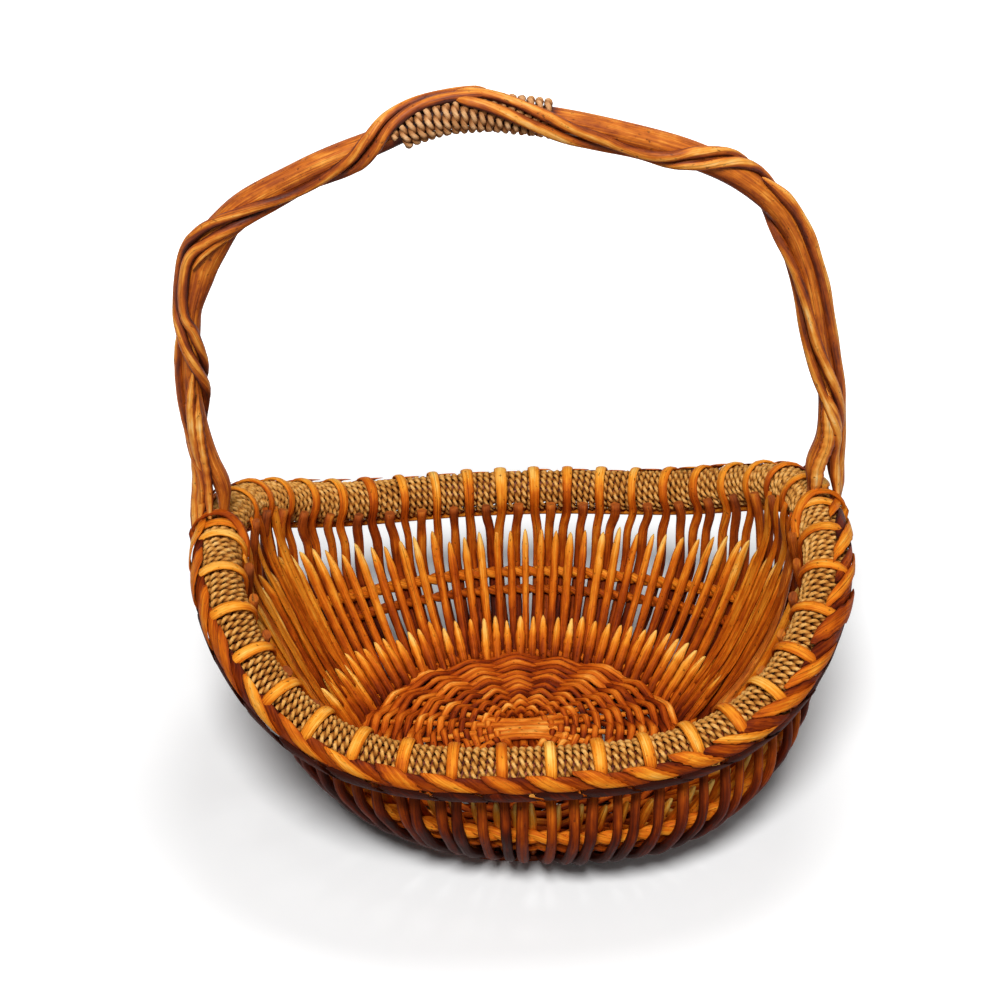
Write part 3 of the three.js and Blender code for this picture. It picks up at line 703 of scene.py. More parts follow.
# Wall: each station is on the roll (angle, radius), on the wall (share of height, offset) or in the base
# (distance in from the wall's foot, depth), then half width, half thickness, tone and wear
ROLL = "roll"
WALL = "wall"
BASE = "base"
STRAP_RADIUS = ROLL_RADIUS + CLEAR + STRAP_LIFT
# Straps: the tone peaks over the top of the roll and falls down its inner side, a painted highlight on top
# and painted shade below.
STRAP_STATIONS = (
    (ROLL, 8, STRAP_RADIUS - 0.5, 3.4, 1.0, 0.5, 0),
    (ROLL, 30, STRAP_RADIUS, 3.9, 1.3, 0.66, 0),
    (ROLL, 60, STRAP_RADIUS, 3.9, 1.3, 0.78, 0),
    (ROLL, 90, STRAP_RADIUS, 3.9, 1.3, 0.8, 0),
    (ROLL, 120, STRAP_RADIUS, 3.7, 1.3, 0.74, 0),
    (ROLL, 150, STRAP_RADIUS, 3.5, 1.4, 0.62, 0),
    (ROLL, 180, STRAP_RADIUS, 3.4, 1.6, 0.52, 0),
    (ROLL, 205, STRAP_RADIUS + 0.3, 3.3, 2.0, 0.46, 0),
)
BLUNT_STATIONS = (
    (ROLL, 182.5, 18.9, 3.5, 2.6, 0.5, 0.5),
    (ROLL, 183.4, 19.0, 3.6, 2.7, 0.34, 0.3),
    (ROLL, 196, 19.2, 3.7, 3.0, 0.42, 0.25),
)
# Legs: the tone falls down the wall towards the foot, partly the rods' darker stain and partly painted shade
# low on the wall.
LEG_STATIONS = (
    (WALL, 0.78, -STAKE_RADIUS, 3.4, 2.9, 0.42, 0.1),
    (WALL, 0.6, STAKE_OFFSET, 3.7, 3.1, 0.23, 0),
    (WALL, 0.48, STAKE_OFFSET, 3.7, 3.1, 0.14, 0),
    (WALL, 0.36, STAKE_OFFSET, 3.7, 3.1, 0.08, 0),
    (WALL, 0.18, 2.7, 3.5, 3.1, 0.02, 0),
    (WALL, 0.05, 0.4, 3.2, 3.0, -0.02, 0),
    (BASE, 0, 0, 3.0, 2.1, 0.14, 0),
    (BASE, 8, 0, 3.0, 2.1, 0.14, 0),
    (BASE, 14, 0, 3.0, 2.1, 0.14, 0),
)
SHORT_STATIONS = ((WALL, 0.84, -4.0, 2.2, 1.8, 0.4, 0),)
TIE_END = ((WALL, 0.8, 0.0, 3.2, 1.6, 0.5, 0),)

# Column of the tone among a station's values, which start with its normal
TONE_COLUMN = 5


def stations_at(turn, stations, lean=0.0):
    """Points, and normals with sizes, tones and wear, at each station for each turn.

    A rod leans sideways, most at half height, by its own share of a stake's spacing times a sine.
    """
    side = rng.normal(0, lean / STAKES, len(turn))
    points = []
    extras = []
    for kind, place, reach, *finish in stations:
        if kind == ROLL:
            point = roll_point(turn, place, reach)
            normal = -roll_direction(turn, place)
        elif kind == WALL:
            point = wall_point(turn + side * math.sin(math.pi * place), place, reach)
            normal = wall_out(turn)
        else:
            foot = on_foot(turn)
            point = foot - unit(foot * LEVEL) * place - UP * reach
            normal = unit(wall_out(turn) * (place == 0) - UP)
        points.append(point)
        extras.append(np.concatenate([normal, np.tile(finish, (len(turn), 1))], axis=1))
    return np.stack(points, axis=1), np.stack(extras, axis=1)


def along_stations(points, extras, count):
    """Rods through stations, their sizes uneven by a few hundredths."""
    rows = len(points)
    curve, mixed = through(points, extras, count)
    normal, width, thick, tone, worn = columns(mixed)
    swell = ripple(rows, count, ROD_UNEVENNESS) * rng.normal(1, ROD_UNEVENNESS, (rows, 1))
    tone = tone + rng.normal(0, ROD_TONE_SPREAD, (rows, 1))
    return rods(curve, normal, width * swell, thick * swell, tone, ROD_SIDES, worn=worn, edge=0.14)


def stakes(positions, top, count):
    """Stakes from their top stations down the wall into the base, those at the back paler in the wall:
    painted light.
    """
    points, extras = stations_at(position_turn(positions), top + LEG_STATIONS, STAKE_LEAN)
    back = np.clip(points[:, :1, 1] / RIM_HALF_WIDTH, 0, 1)
    # Painted light: the wall stations of stakes at the back are paler than those at the front
    extras[:, len(top):, TONE_COLUMN] += BACK_STAKE_PAINTED_LIGHT * back
    return along_stations(points, extras, count)


def left_out(position):
    """Whether a foot of the handle is in the way of a strap or a blunt stake."""
    return position % (STAKES // 2) in (0, 1)


every_position = np.array([p for p in range(STAKES) if not left_out(p)])
strap_positions = every_position[every_position % 2 == 0]
blunt_positions = every_position[every_position % 2 == 1]
handle_positions = np.array([p for p in range(STAKES) if left_out(p)])
between_positions = np.array([p + 0.5 for p in range(STAKES) if p % (STAKES // 2) != 0])
pair_nodes = [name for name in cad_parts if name.startswith("stake_pair")]
make_piece(
    "wall_stakes",
    [
        stakes(strap_positions, STRAP_STATIONS, count=52),
        stakes(blunt_positions, BLUNT_STATIONS, count=40),
        stakes(handle_positions, SHORT_STATIONS, count=32),
    ],
    WILLOW, pair_nodes,
)


def bye_stakes(positions, shares, offsets, tones, radius, height_spread, count):
    """Short inner stakes through shares of the wall's height, cut to a point.

    Over the tip's length the section shrinks by the square root of the distance to the tip, and the centre
    moves out, so that the cut faces inwards.
    """
    turn = position_turn(positions)
    rows = len(turn)
    top = rng.normal(0, height_spread, rows)
    side = rng.normal(0, BYE_LEAN / STAKES, rows)
    points = []
    extras = []
    for share, offset, tone in zip(shares, offsets, tones):
        grown = (share - shares[0]) / (shares[-1] - shares[0])
        points.append(wall_point(turn + side * grown, share + top * grown, offset))
        extras.append(np.concatenate([-wall_out(turn), np.full((rows, 1), tone)], axis=1))
    curve, mixed = through(np.stack(points, axis=1), np.stack(extras, axis=1), count)
    inward, tone = columns(mixed)
    swell = radius * ripple(rows, count, ROD_UNEVENNESS) * rng.normal(1, ROD_UNEVENNESS, (rows, 1))
    length = lengths_along(curve)
    tip = TIP_LENGTH * rng.uniform(*TIP_LENGTH_SPREAD, (rows, 1))
    near = np.clip((length[:, -1:] - length) / tip, 0, 1)
    shape = TIP_BLUNTNESS + (1 - TIP_BLUNTNESS) * near ** 0.5
    curve = curve - inward * (swell * (1 - shape) * TIP_OUTWARD)[..., None]
    tone = tone + TIP_PALING * (1 - near) + rng.normal(0, ROD_TONE_SPREAD, (rows, 1))
    return rods(curve, inward, swell * shape, swell * shape, tone, ROD_SIDES, edge=0.16)


# The bye stakes' tones rise from foot to tip: painted shade low in the basket and a painted highlight towards
# the tips.
make_piece(
    "upper_bye_stakes",
    [bye_stakes(
        between_positions,
        shares=(0.01, 0.1, 0.2, 0.36, 0.48, 0.6, 0.7, 0.765),
        offsets=(-3.4, -4.6, -5.6, -6.3, -6.5, -6.4, -5.6, -4.6),
        tones=(0.16, 0.3, 0.44, 0.55, 0.61, 0.67, 0.77, 0.86),
        radius=3.2, height_spread=0.013, count=52,
    )],
    WILLOW,
)
make_piece(
    "lower_bye_stakes",
    [bye_stakes(
        every_position,
        shares=(0.005, 0.06, 0.12, 0.18, 0.262),
        offsets=(-9.2, -10.2, -10.0, -9.8, -9.0),
        tones=(0.26, 0.42, 0.58, 0.7, 0.82),
        radius=3.4, height_spread=0.012, count=30,
    )],
    WILLOW,
)


def wale(share, radius, tone, offset=0, shift=0):
    """Two strands twined round each other: each swings in past every other rod and out past the next.

    The swing across the wall is a cosine of the position along it, and the swing up the wall its sine. Over
    the last stake's spacing the size comes back to what it is at the ring's start.
    """
    count = STAKES * WALE_STATIONS_A_STAKE
    turn = np.arange(count) / count
    out = wall_out(turn)
    rise = unit(wall_axes(turn)[1])
    middle = wall_point(turn, share, offset)
    strands = []
    for phase in (0, math.pi):
        angle = math.pi * (turn * STAKES + 0.5 + shift) + phase
        swing = -out * np.cos(angle)[:, None] * WALE_SWING_OUT + rise * np.sin(angle)[:, None] * WALE_SWING_UP
        strands.append(middle + swing)
    size = radius * ripple(2, count, amount=0.08, waves=10, rate=60)
    closing = np.linspace(0, 1, WALE_STATIONS_A_STAKE)
    size[:, -WALE_STATIONS_A_STAKE:] += (size[:, :1] - size[:, -1:]) * closing
    return rods(
        np.stack(strands), np.stack([out, out]), size, size, np.full((2, count), tone), closed=True,
    )


make_piece(
    "wale_rows",
    [wale(0.41, radius=2.6, tone=0.48), wale(0.515, radius=3.2, tone=0.6)],
    WILLOW, ("wale_lower", "wale_upper"),
)
make_piece(
    "foot_wale", [wale(0.045, radius=2.5, tone=0.46, offset=-6.4, shift=0.5)], WILLOW,
)


def hoop_under_rim():
    """A ring of round section, seated on the rope under the rim."""
    count = STAKES * UPPER_HOOP_STATIONS_A_STAKE
    turn = np.arange(count) / count
    centre = roll_point(turn, UPPER_HOOP_ANGLE, ROLL_RADIUS + UPPER_HOOP_RADIUS - ROPE_PLY_OFFSET)[None]
    radius = np.full((1, count), UPPER_HOOP_RADIUS)
    tone = np.full((1, count), UPPER_HOOP_TONE)
    return rods(centre, wall_out(turn)[None], radius, radius, tone, closed=True)


make_piece("hoop_under_rim", [hoop_under_rim()], WILLOW, ("upper_hoop",))


# Rim
def rope_ply(phase):
    """A ply of the rope: a helix on the rope's own line, which is a helix round the roll's centre-line."""
    turns = round(RIM_LENGTHS[-1] / ROPE_PITCH)
    count = turns * ROPE_STATIONS_A_TURN
    share = np.arange(count) / count
    centre, along, out, up = rim_axes(share)
    angle = TAU * turns * share
    radial = out * np.cos(angle)[:, None] + up * np.sin(angle)[:, None]
    rope_radius = ROLL_RADIUS - ROPE_PLY_RADIUS - ROPE_PLY_OFFSET
    lays = round(turns * TAU * rope_radius / ROPE_LAY)
    drift = sum(np.sin(TAU * rate * share + rate) for rate in ROPE_DRIFT_RATES) * ROPE_DRIFT
    twist = phase - TAU * lays * share + drift
    offset = radial * np.cos(twist)[:, None] + along * np.sin(twist)[:, None]
    line = centre + radial * rope_radius + offset * ROPE_PLY_OFFSET
    radius = ROPE_PLY_RADIUS * ripple(1, count, amount=0.05, waves=12, rate=900)
    # Painted light and shade: the ply is paler where it bulges out and darker in the crevices.
    tone = ROPE_TONE + ROPE_PAINTED_LIGHT_SWING * np.cos(twist)
    return rods(line[None], offset[None], radius, radius, tone[None], ROPE_SIDES, closed=True)


make_piece("rim_rope_ply_one", [rope_ply(0)], ROPE, ("rim_rope_winding",))
make_piece("rim_rope_ply_two", [rope_ply(math.pi)], ROPE, ("rim_rope_winding",))


def border_leaves(shift, slant, half_length, narrow, angles, climb, radii, tone, spread):
    """Flat leaves on the roll's outer side: sheared oblongs whose level section slides on as it goes down.

    Lengths along the rim are shares of the spacing of the straps. Towards the two ends the leaves climb up
    the roll by the cosine squared of their turn, and at the right they grow narrower and uneven.
    """
    strap = position_turn(2 * np.arange(LEAVES))
    right = np.maximum(0, np.cos(TAU * strap)) ** 2
    left = np.maximum(0, -np.cos(TAU * strap)) ** 2
    uneven = spread * (1 + RIGHT_UNEVENNESS * right)

    def chance(what):
        return CHANCES[what] * rng.normal(0, 1, LEAVES) * uneven

    at = np.linspace(0, 1, LEAF_STATIONS)
    middle = strap + (shift + chance("shift")) / LEAVES
    slide = slant + RIGHT_SLIDE * right + LEFT_SLIDE * left + chance("slide")
    turn = middle[:, None] + slide[:, None] * (at - 0.5) / LEAVES
    top = angles[0] + climb * right + LEFT_CLIMB * climb * left + chance("angle")
    low = angles[1] + LOW_CLIMB * climb * (right + left) + chance("angle")
    angle = top[:, None] + (low - top)[:, None] * at
    radius = np.interp(at, LEAF_RADIUS_PLACES, radii) + (chance("radius") - right)[:, None]
    line = roll_point(turn, angle, radius)
    normal = roll_direction(turn, angle)
    before = on_rim(rim_share(strap - 0.5 / LEAVES))
    spacing = np.linalg.norm(on_rim(rim_share(strap + 0.5 / LEAVES)) - before, axis=1)
    length = half_length * spacing * (1 - narrow * right + chance("length"))
    width = length[:, None] * profile(at, LEAF_WIDTHS) * ripple(LEAVES, LEAF_STATIONS, amount=0.08)
    thick = profile(at, LEAF_HALF_THICKNESSES) * np.ones((LEAVES, 1))
    # Painted highlight along the leaf's raised middle, and painted shade at its sides through edge
    shade = tone + LEAF_PAINTED_CREST_LIGHT * np.sin(math.pi * at) + chance("tone")[:, None]
    level = -rim_axes(rim_share(turn))[1]
    return rods(line, normal, width, thick, shade, sides=14, across=level, edge=0.2)


make_piece(
    "rim_border_leaves",
    [
        border_leaves(
            shift=0.02, slant=0.76, half_length=0.34, narrow=0.3, angles=(27, -12), climb=50,
            radii=(17.0, 18.4, 18.9, 18.5, 16.4), tone=0.56, spread=1,
        ),
        # Second row, set back between the first: its darker tone is painted shade.
        border_leaves(
            shift=0.52, slant=0.6, half_length=0.42, narrow=0.2, angles=(22, -20), climb=48,
            radii=(16.2, 16.9, 17.3, 17.1, 16.3), tone=0.26, spread=0.8,
        ),
        # Third row, low on the roll's outer side: its near-black tone is a painted shadow under the border.
        border_leaves(
            shift=0.25, slant=0.5, half_length=0.5, narrow=0, angles=(-10, -56), climb=0,
            radii=(17.2, 18.0, 18.3, 17.8, 16.6), tone=-0.06, spread=0.6,
        ),
    ],
    WILLOW, ("rim_border_plait",),
)


# Base
def dome(radius):
    """Height of the weave's middle: a paraboloid, highest at the centre."""
    return WEAVE_MIDDLE + BASE_DOME * (1 - (radius / WEAVE_REACH) ** 2)


def base_weaver(first):
    """A rod spiralling out in straight strokes from spoke to spoke, over one and under the next.

    Two of them take turns, half a round apart. Each stroke has its own small shift, thickness and tone. A
    weighted mean of each station and its two neighbours rounds the corners.
    """
    strokes = WEAVE_ROUNDS * SPOKES
    knot = np.arange(strokes + 1)
    angle = TAU * (knot + first) / SPOKES
    share = knot / strokes
    spiral = WEAVE_START + (WEAVE_END - WEAVE_START) * share
    radius = spiral + rng.normal(0, WEAVE_RADIUS_SPREAD, len(knot))
    over = np.where((knot + (first > 0)) % 2 == 0, 1.0, -1.0)
    height = dome(radius) + WEAVE_WAVE_HEIGHT * over + rng.normal(0, WEAVE_HEIGHT_SPREAD, len(knot))
    size = WEAVE_ROD_RADIUS * rng.normal(1, WEAVE_SIZE_SPREAD, len(knot))
    width = size * (WEAVE_WIDTH_RATIO + WEAVE_WIDENING * share)
    # Painted light: strokes lying over a spoke are paler and those under it darker
    tone = WEAVE_TONE + WEAVE_PAINTED_LIGHT_STEP * over + rng.normal(0, WEAVE_TONE_SPREAD, len(knot))
    x = radius * np.cos(angle)
    y = radius * np.sin(angle) * BASE_ROUNDNESS
    at = np.linspace(0, strokes, strokes * WEAVE_STATIONS_A_STROKE + 1)
    values = np.stack([np.interp(at, knot, v) for v in (x, y, height, width, size, tone)], axis=-1)
    values[1:-1] = (values[:-2] + 2 * values[1:-1] + values[2:]) / 4
    centre, width, thick, tone = columns(values[None])
    # Painted shade at each stroke's sides, dark lines between the strokes
    return rods(centre, np.broadcast_to(UP, centre.shape), width, thick, tone, edge=0.34)


def base_sticks(lengthwise, lift, tone):
    """Sticks side by side in the middle that fan out to the edge.

    In the middle, where the two layers cross, each is lifted or lowered, and it comes level on the way out.
    """
    number = np.arange(STICKS_EACH_WAY) - (STICKS_EACH_WAY - 1) / 2
    fan = np.radians(number * STICK_FAN_STEP)
    reach = WEAVE_REACH - CLEAR
    level = (STICK_LEVEL_RADIUS - SLATH_HALF_LENGTH) / (reach - SLATH_HALF_LENGTH)
    inward = list(zip((1, STICK_BEND_SHARE, level, 0), STICK_HALF_WIDTHS))
    stations = [(-1, *station) for station in inward] + [(1, *station) for station in reversed(inward)]
    points = []
    extras = []
    for sign, share, width in stations:
        forward = sign * (SLATH_HALF_LENGTH + (reach * np.cos(fan) - SLATH_HALF_LENGTH) * share)
        side = number * SLATH_SPACING + (reach * np.sin(fan) - number * SLATH_SPACING) * share
        x, y = (forward, side) if lengthwise else (side, forward)
        rise = dome(np.hypot(forward, side)) + lift * max(0, 1 - share / level)
        points.append(np.stack([x, y * BASE_ROUNDNESS, rise], axis=-1))
        extras.append(np.tile((*UP, width), (STICKS_EACH_WAY, 1)))
    curve, mixed = through(np.stack(points, axis=1), np.stack(extras, axis=1), stations=60)
    normal, width = columns(mixed)
    swell = ripple(*curve.shape[:2], amount=0.05)
    tone = np.full(swell.shape, tone)
    return rods(curve, normal, width * swell, STICK_HALF_THICKNESS * swell, tone, ROD_SIDES, edge=0.3)


make_piece(
    "base_rounds", [base_weaver(0), base_weaver(SPOKES // 2)], BASE_WILLOW, ("base_weave",),
)
make_piece(
    "base_sticks",
    [base_sticks(lengthwise=True, lift=2.4, tone=0.84), base_sticks(lengthwise=False, lift=-1.2, tone=0.5)],
    BASE_WILLOW, ("base_sticks_lengthwise", "base_sticks_crosswise"),
)


# Handle
def bow_points():
    """The bow's way: up the left wall's inner side, over the arch, and down the right wall's."""
    feet = []
    for end in (LEFT_END, RIGHT_END):
        turn = np.full(2, end)
        wall = wall_point(turn, np.array(BOW_FOOT_SHARES), BOW_FOOT_OFFSET)
        roll = roll_point(turn, np.array(BOW_ROLL_ANGLES), ROLL_RADIUS)
        feet.append(np.concatenate([wall, roll]))
    depth = on_rim(rim_share(np.array([RIGHT_END])))[0, 1]
    end_height = RIM_MID_HEIGHT + RIM_END_RISE
    arch = np.array([(x * RIM_HALF_LENGTH, depth, end_height + z * HANDLE_RISE) for x, z in BOW_ARCH])
    return np.concatenate([feet[0], arch, feet[1][::-1]])


BOW_POINTS = bow_points()[None]
BOW_LINE = through(BOW_POINTS, np.zeros_like(BOW_POINTS), BOW_LINE_STATIONS)[0][0]
BOW_LENGTHS = lengths_along(BOW_LINE)
GRIP_END = GRIP_START + GRIP_TURNS * GRIP_PITCH / BOW_LENGTHS[-1]


def on_bow(share):
    """Point at a share of the bow's length."""
    at = np.asarray(share) * BOW_LENGTHS[-1]
    return np.stack([np.interp(at, BOW_LENGTHS, BOW_LINE[:, i]) for i in range(3)], axis=-1)


def bow_direction(share, degrees):
    """Direction round the bow: 0 degrees is its front, 90 its outer side."""
    before = on_bow(np.maximum(share - BOW_SHARE_STEP, 0))
    tangent = unit(on_bow(np.minimum(share + BOW_SHARE_STEP, 1)) - before)
    outer = unit(np.cross(np.broadcast_to(FRONT, tangent.shape), tangent))
    angle = np.expand_dims(np.radians(degrees), -1)
    return FRONT * np.cos(angle) + outer * np.sin(angle)


def inside_grip(share):
    """How far a share of the bow lies inside the grip; less than 0 outside it."""
    return np.minimum(share - GRIP_START, GRIP_END - share)


def smooth_step(value, low, high):
    """Cubic step from 0 at low to 1 at high."""
    t = np.clip((value - low) / (high - low), 0, 1)
    return t * t * (3 - 2 * t)


def above_rim(height):
    """Height over the rim's two raised ends."""
    return height - RIM_MID_HEIGHT - RIM_END_RISE


def bow_radius(height):
    """The legs' radius below, the arch's above, mixed smoothly over shares of the handle's rise."""
    grown = smooth_step(above_rim(height) / HANDLE_RISE, BOW_LEG_TOP_SHARE, BOW_ARCH_LOW_SHARE)
    return BOW_LEG_RADIUS + (BOW_RADIUS - BOW_LEG_RADIUS) * grown


def bow():
    """Round on the arch and the legs, flat where it goes through the roll, wider inside the left corner.

    The widening is a power of 1 minus the squared distance from the corner's share.
    """
    share = np.linspace(0, 1, BOW_STATIONS)
    line = on_bow(share)
    grown = smooth_step(above_rim(line[:, 2]), ROLL_RADIUS, 3 * ROLL_RADIUS)
    radius = bow_radius(line[:, 2])
    swell = ripple(1, BOW_STATIONS, amount=0.05, waves=8, rate=20) * profile(share, BOW_SWELL)
    near = np.maximum(0, 1 - ((share - CORNER_SHARE) / CORNER_REACH) ** 2)
    corner = CORNER_WIDENING * near ** CORNER_POWER
    width = (BOW_FOOT_HALF_THICKNESS + (radius - BOW_FOOT_HALF_THICKNESS) * grown)[None] * swell + corner
    thick = (BOW_FOOT_HALF_WIDTH + (radius - BOW_FOOT_HALF_WIDTH) * grown)[None] * swell
    line = line - bow_direction(share, np.full(BOW_STATIONS, 90.0)) * corner[:, None]
    normal = np.broadcast_to(FRONT, (1, BOW_STATIONS, 3))
    # Painted shade: darker under the grip's rope, and on the bow's underside through under
    gripped = smooth_step(inside_grip(share), -GRIP_SHADE_REACH, GRIP_SHADE_REACH)
    tone = (BOW_TONE - GRIP_SHADE * gripped)[None]
    return rods(line[None], normal, width, thick, tone, sides=16, under=0.36)


def around_bow(keys, height, press, side):
    """Points and outward normals along a way round the bow, at a height over it less a press into it.

    The turn is a smooth function of the share of the bow's length. The way rises over the grip's rope, and
    one of a pair of rods lies half their spacing to its side.
    """
    shares, degrees = np.array(keys, dtype=float).T
    plane = np.stack([shares * SHARE_STRETCH, degrees, np.zeros(len(keys))], axis=-1)[None]
    path = through(plane, np.zeros_like(plane), STRAND_STATIONS)[0][0]
    share = path[:, 0] / SHARE_STRETCH
    lift = smooth_step(inside_grip(share), -GRIP_RAMP, 0) * (2 * GRIP_ROPE_RADIUS + CLEAR - GRIP_SINK)
    reach = bow_radius(on_bow(share)[:, 2]) + height - press + lift
    turn = path[:, 1] + side * np.degrees(np.arcsin(TWIST_HALF_SPACING / reach))
    normal = bow_direction(share, turn)
    return on_bow(share) + normal * reach[:, None], normal


def strand_foot(end, angle, lift, shift):
    """Where a strand stands on the roll, moved towards the back by a shift."""
    return roll_point(np.array([end]), angle, ROLL_RADIUS + CLEAR + lift) - FRONT * shift


def twist_rod(keys, size, flat, press, foot, side=0, point_length=STRAND_POINT):
    """A rod laid round the bow, which runs to a point at its end.

    It starts, narrower, at a foot on the rim's roll, or else at a point too. Painted shade makes its tone
    darkest where it lies on the bow, at its sides and underneath; painted light makes its outer side palest.
    """
    line, normal = around_bow(keys, size * flat, press, side)
    if foot:
        line = np.concatenate([strand_foot(*foot), line])
        normal = np.concatenate([[FRONT], normal])
    curve, mixed = through(line[None], normal[None], STRAND_STATIONS)
    length = lengths_along(curve)
    point = np.clip((length[:, -1:] - length) / point_length, 0, 1)
    narrow = 1.0
    if foot:
        narrow = 1 - FOOT_NARROWING * np.clip(1 - length / FOOT_TAPER_LENGTH, 0, 1)
    else:
        point = point * np.clip(length / point_length, 0, 1)
    shape = STRAND_BLUNTNESS + (1 - STRAND_BLUNTNESS) * point ** STRAND_POINT_POWER
    radius = size * narrow * ripple(1, STRAND_STATIONS, amount=0.07, waves=6, rate=14) * shape
    angle = TAU * np.arange(STRAND_SIDES) / STRAND_SIDES
    middle = STRAND_TONE + rng.normal(0, STRAND_TONE_SPREAD)
    # Painted light on the side away from the bow, painted shade on the side against it
    tone = (middle + STRAND_PAINTED_OUTER_LIGHT * np.sin(angle)) * np.ones((1, STRAND_STATIONS, 1))
    return rods(curve, mixed, radius, radius * flat, tone, STRAND_SIDES, edge=0.36, under=0.2)


def twist_pair(keys, end):
    """Two rods side by side, the front one first, from the roll round the bow."""
    pair = []
    for side in (-1, 1):
        foot = (end, TWIST_FOOT_ANGLE, TWIST_RADIUS, side * TWIST_FOOT_SPACING / 2)
        pair.append(twist_rod(keys, TWIST_RADIUS, TWIST_FLATNESS, TWIST_PRESS, foot, side, TWIST_POINT))
    return pair


def grip_ply(phase):
    """A ply of the grip's rope: a helix on a helix round the bow."""
    count = GRIP_TURNS * GRIP_STATIONS_A_TURN
    at = np.linspace(0, 1, count)
    share = GRIP_START + (GRIP_END - GRIP_START) * at
    radial = bow_direction(share, 360 * GRIP_TURNS * at)
    tangent = unit(np.gradient(on_bow(share), axis=0))
    twist = phase - TAU * at * GRIP_TURNS * GRIP_LAYS_A_TURN
    offset = radial * np.cos(twist)[:, None] + tangent * np.sin(twist)[:, None]
    line = on_bow(share) + radial * (BOW_RADIUS + CLEAR + GRIP_ROPE_RADIUS) + offset * GRIP_PLY_OFFSET
    radius = GRIP_PLY_RADIUS * ripple(1, count, amount=0.05, waves=12, rate=60)
    # Painted light and shade: the ply is paler where it bulges out and darker in the crevices.
    tone = (GRIP_TONE + ROPE_PAINTED_LIGHT_SWING * np.cos(twist))[None]
    return rods(line[None], offset[None], radius, radius, tone)


make_piece("bow", [bow()], HANDLE_WILLOW, ("handle_bow",))
make_piece(
    "twist_rods", twist_pair(LEFT_TWIST, LEFT_END) + twist_pair(RIGHT_TWIST, RIGHT_END),
    HANDLE_WILLOW,
    ("twist_rod_left_front", "twist_rod_left_back", "twist_rod_right_front", "twist_rod_right_back"),
)
make_piece("handle_strands", [twist_rod(*strand) for strand in STRANDS], HANDLE_WILLOW)
make_piece("grip_plies", [grip_ply(0), grip_ply(math.pi)], GRIP_ROPE, ("grip_rope",))


# Ties
def rim_ties():
    """A strap over the rim beside each foot of the handle."""
    turn = np.array((-TIE_OFFSET, STAKES / 2 + TIE_OFFSET)) / STAKES
    points, extras = stations_at(turn, STRAP_STATIONS + TIE_END)
    return along_stations(points, extras, count=40)


def foot_bands():
    """A band round each foot: from the roll's inner side over the leg's front to the roll's outer side."""
    side = np.array(((-1,), (1,)))
    end = np.array(((RIGHT_END,), (LEFT_END,)))
    shift, angle, radius = np.array(BAND_STATIONS).T
    points = roll_point(end + side * shift / STAKES, angle, radius)
    values = np.concatenate([-roll_direction(end, 90), np.tile(BAND_FINISH, (2, 1, 1))], axis=2)
    return along_stations(points, np.repeat(values, len(BAND_STATIONS), axis=1), count=36)


make_piece("rim_ties", [rim_ties(), foot_bands()], WILLOW, ("tie_left", "tie_right"))

# Bark strips
STRIP_STATIONS = (
    (ROLL, 178, 15.6, 4.2, 0.8, 0.56, 0.1),
    (ROLL, 200, 18.6, 5.2, 0.9, 0.6, 0),
    (WALL, 0.8, -10.4, 6.2, 0.9, 0.62, 0),
    (WALL, 0.66, -11.0, 6.4, 0.9, 0.6, 0),
    (WALL, 0.5, -11.4, 5.6, 0.9, 0.56, 0),
    (WALL, 0.3, -11.6, 4.0, 0.8, 0.5, 0),
    (WALL, 0.16, -13.0, 1.2, 0.6, 0.4, 0),
)


def bark_strips():
    """Flat ragged strips that hang from the roll's inner side down the wall beside the handle's feet."""
    rows = len(STRIP_POSITIONS)
    points, extras = stations_at(position_turn(np.array(STRIP_POSITIONS)), STRIP_STATIONS, lean=0.4)
    curve, mixed = through(points, extras, stations=48)
    normal, width, thick, tone, _ = columns(mixed)
    ragged = ripple(*curve.shape[:2], amount=0.14, waves=5) * rng.uniform(*STRIP_WIDTH_SPREAD, (rows, 1))
    tone = tone + STRIP_PALING + rng.normal(0, STRIP_TONE_SPREAD, (rows, 1))
    return rods(curve, normal, width * ragged, thick, tone, sides=12, edge=0.14)


make_piece("bark_strips", [bark_strips()], WILLOW)


# Solids that stay as they are
def plain_willow(name):
    """Willow for the two hoops kept from the solids: blotches and streaks in the object's own space."""
    n = Nodes(bpy.data.materials.new(name))
    vector = n.object_coordinates()
    grain = n.noise(vector, scale=240.0, detail=4.0, roughness=0.6)
    patch = n.noise(vector, scale=45.0)
    place = n.math("ADD", n.range(grain, 0.1, 0.5), n.range(patch, -0.2, 0.3))
    n.surface("Base Color", n.ramp(place, WILLOW_STOPS))
    n.surface("Roughness", n.range(grain, 0.4, 0.7))
    n.bump(grain, strength=0.4, distance=0.0005)
    return n.owner


HOOP_WILLOW = plain_willow("hoop_willow")
for kept in ("foot_hoop", "rim_core"):
    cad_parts[kept].data.materials.clear()
    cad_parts[kept].data.materials.append(HOOP_WILLOW)


# Stage, light and camera
def camera_rays(n):
    """1 for the rays that show the background: camera, glossy and transmission rays."""
    path = n.node("LightPath").outputs
    shown = n.math("MAXIMUM", path["Is Camera Ray"], path["Is Glossy Ray"])
    return n.math("MAXIMUM", shown, path["Is Transmission Ray"])


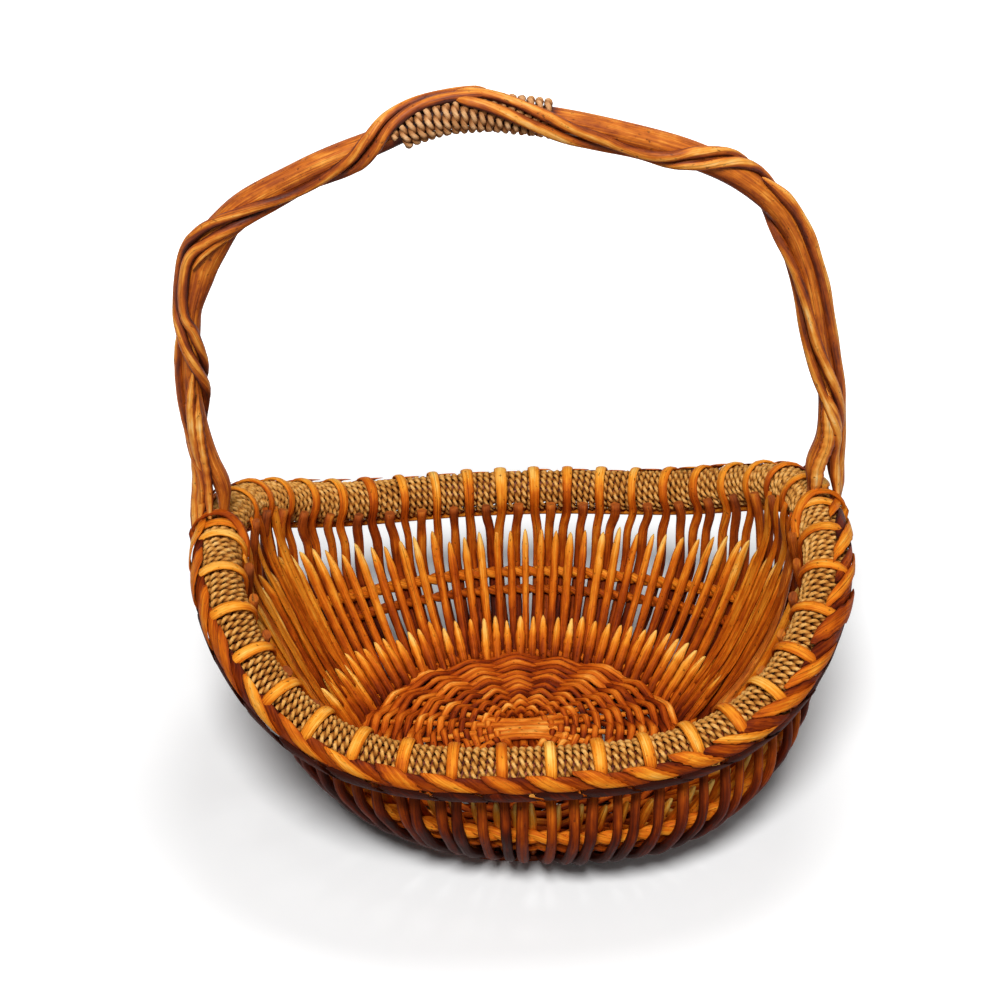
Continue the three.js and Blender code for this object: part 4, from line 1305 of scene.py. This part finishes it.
def make_floor():
    """A level plane that looks pale, and glows where it is far from the object, but gives back less light."""
    mesh = bpy.data.meshes.new("floor")
    signs = ((-1, -1), (1, -1), (1, 1), (-1, 1))
    corners = [(x * FLOOR_HALF_SIZE, y * FLOOR_HALF_SIZE, FLOOR_HEIGHT) for x, y in signs]
    mesh.from_pydata(corners, [], [(0, 1, 2, 3)])
    floor = bpy.data.objects.new("floor", mesh)
    bpy.context.collection.objects.link(floor)
    n = Nodes(bpy.data.materials.new("floor"))
    seen = camera_rays(n)
    n.surface("Base Color", n.mix(seen, FLOOR_UNSEEN, FLOOR_SEEN))
    n.surface("Roughness", 0.9)
    n.surface("Specular IOR Level", 0.0)
    distance = n.node("VectorMath", (0, n.object_coordinates()), operation="LENGTH").outputs["Value"]
    glow = n.ramp(distance, [(place, (grey, grey, grey, 1)) for place, grey in FLOOR_GLOW])
    n.surface("Emission Color", (1, 1, 1, 1))
    n.surface("Emission Strength", n.math("MULTIPLY", seen, glow))
    mesh.materials.append(n.owner)


def make_world():
    """White to the rays that show the background, and a faint light to all others."""
    world = bpy.data.worlds.new("studio")
    bpy.context.scene.world = world
    n = Nodes(world, "Background")
    n.surface("Color", (1, 1, 1, 1))
    n.surface("Strength", n.math("MAXIMUM", camera_rays(n), AMBIENT))


def make_lamp(name, place, target, size, power):
    """A round area light aimed at its target."""
    data = bpy.data.lights.new(name, "AREA")
    data.shape = "DISK"
    data.size = size
    data.energy = power
    lamp = bpy.data.objects.new(name, data)
    bpy.context.collection.objects.link(lamp)
    lamp.location = place
    aim = Vector(target) - Vector(place)
    lamp.rotation_euler = aim.to_track_quat("-Z", "Y").to_euler()


def make_camera():
    """Pinhole at the fitted distance behind its target, turned by roll, elevation and yaw."""
    yaw = Matrix.Rotation(math.radians(CAMERA_YAW), 4, "Z")
    tilt = Matrix.Rotation(math.radians(90 - CAMERA_ELEVATION), 4, "X")
    roll = Matrix.Rotation(math.radians(CAMERA_ROLL), 4, "Z")
    turn = yaw @ tilt @ roll
    data = bpy.data.cameras.new("camera")
    data.sensor_width = CAMERA_SENSOR
    data.lens = CAMERA_LENS
    camera = bpy.data.objects.new("camera", data)
    bpy.context.collection.objects.link(camera)
    place = (Vector(CAMERA_TARGET) + turn @ Vector((0, 0, CAMERA_DISTANCE))) * MM
    camera.matrix_world = Matrix.Translation(place) @ turn
    bpy.context.scene.camera = camera


make_floor()
make_world()
for lamp in LAMPS:
    make_lamp(*lamp)
make_camera()
bpy.context.scene.view_settings.view_transform = "Standard"
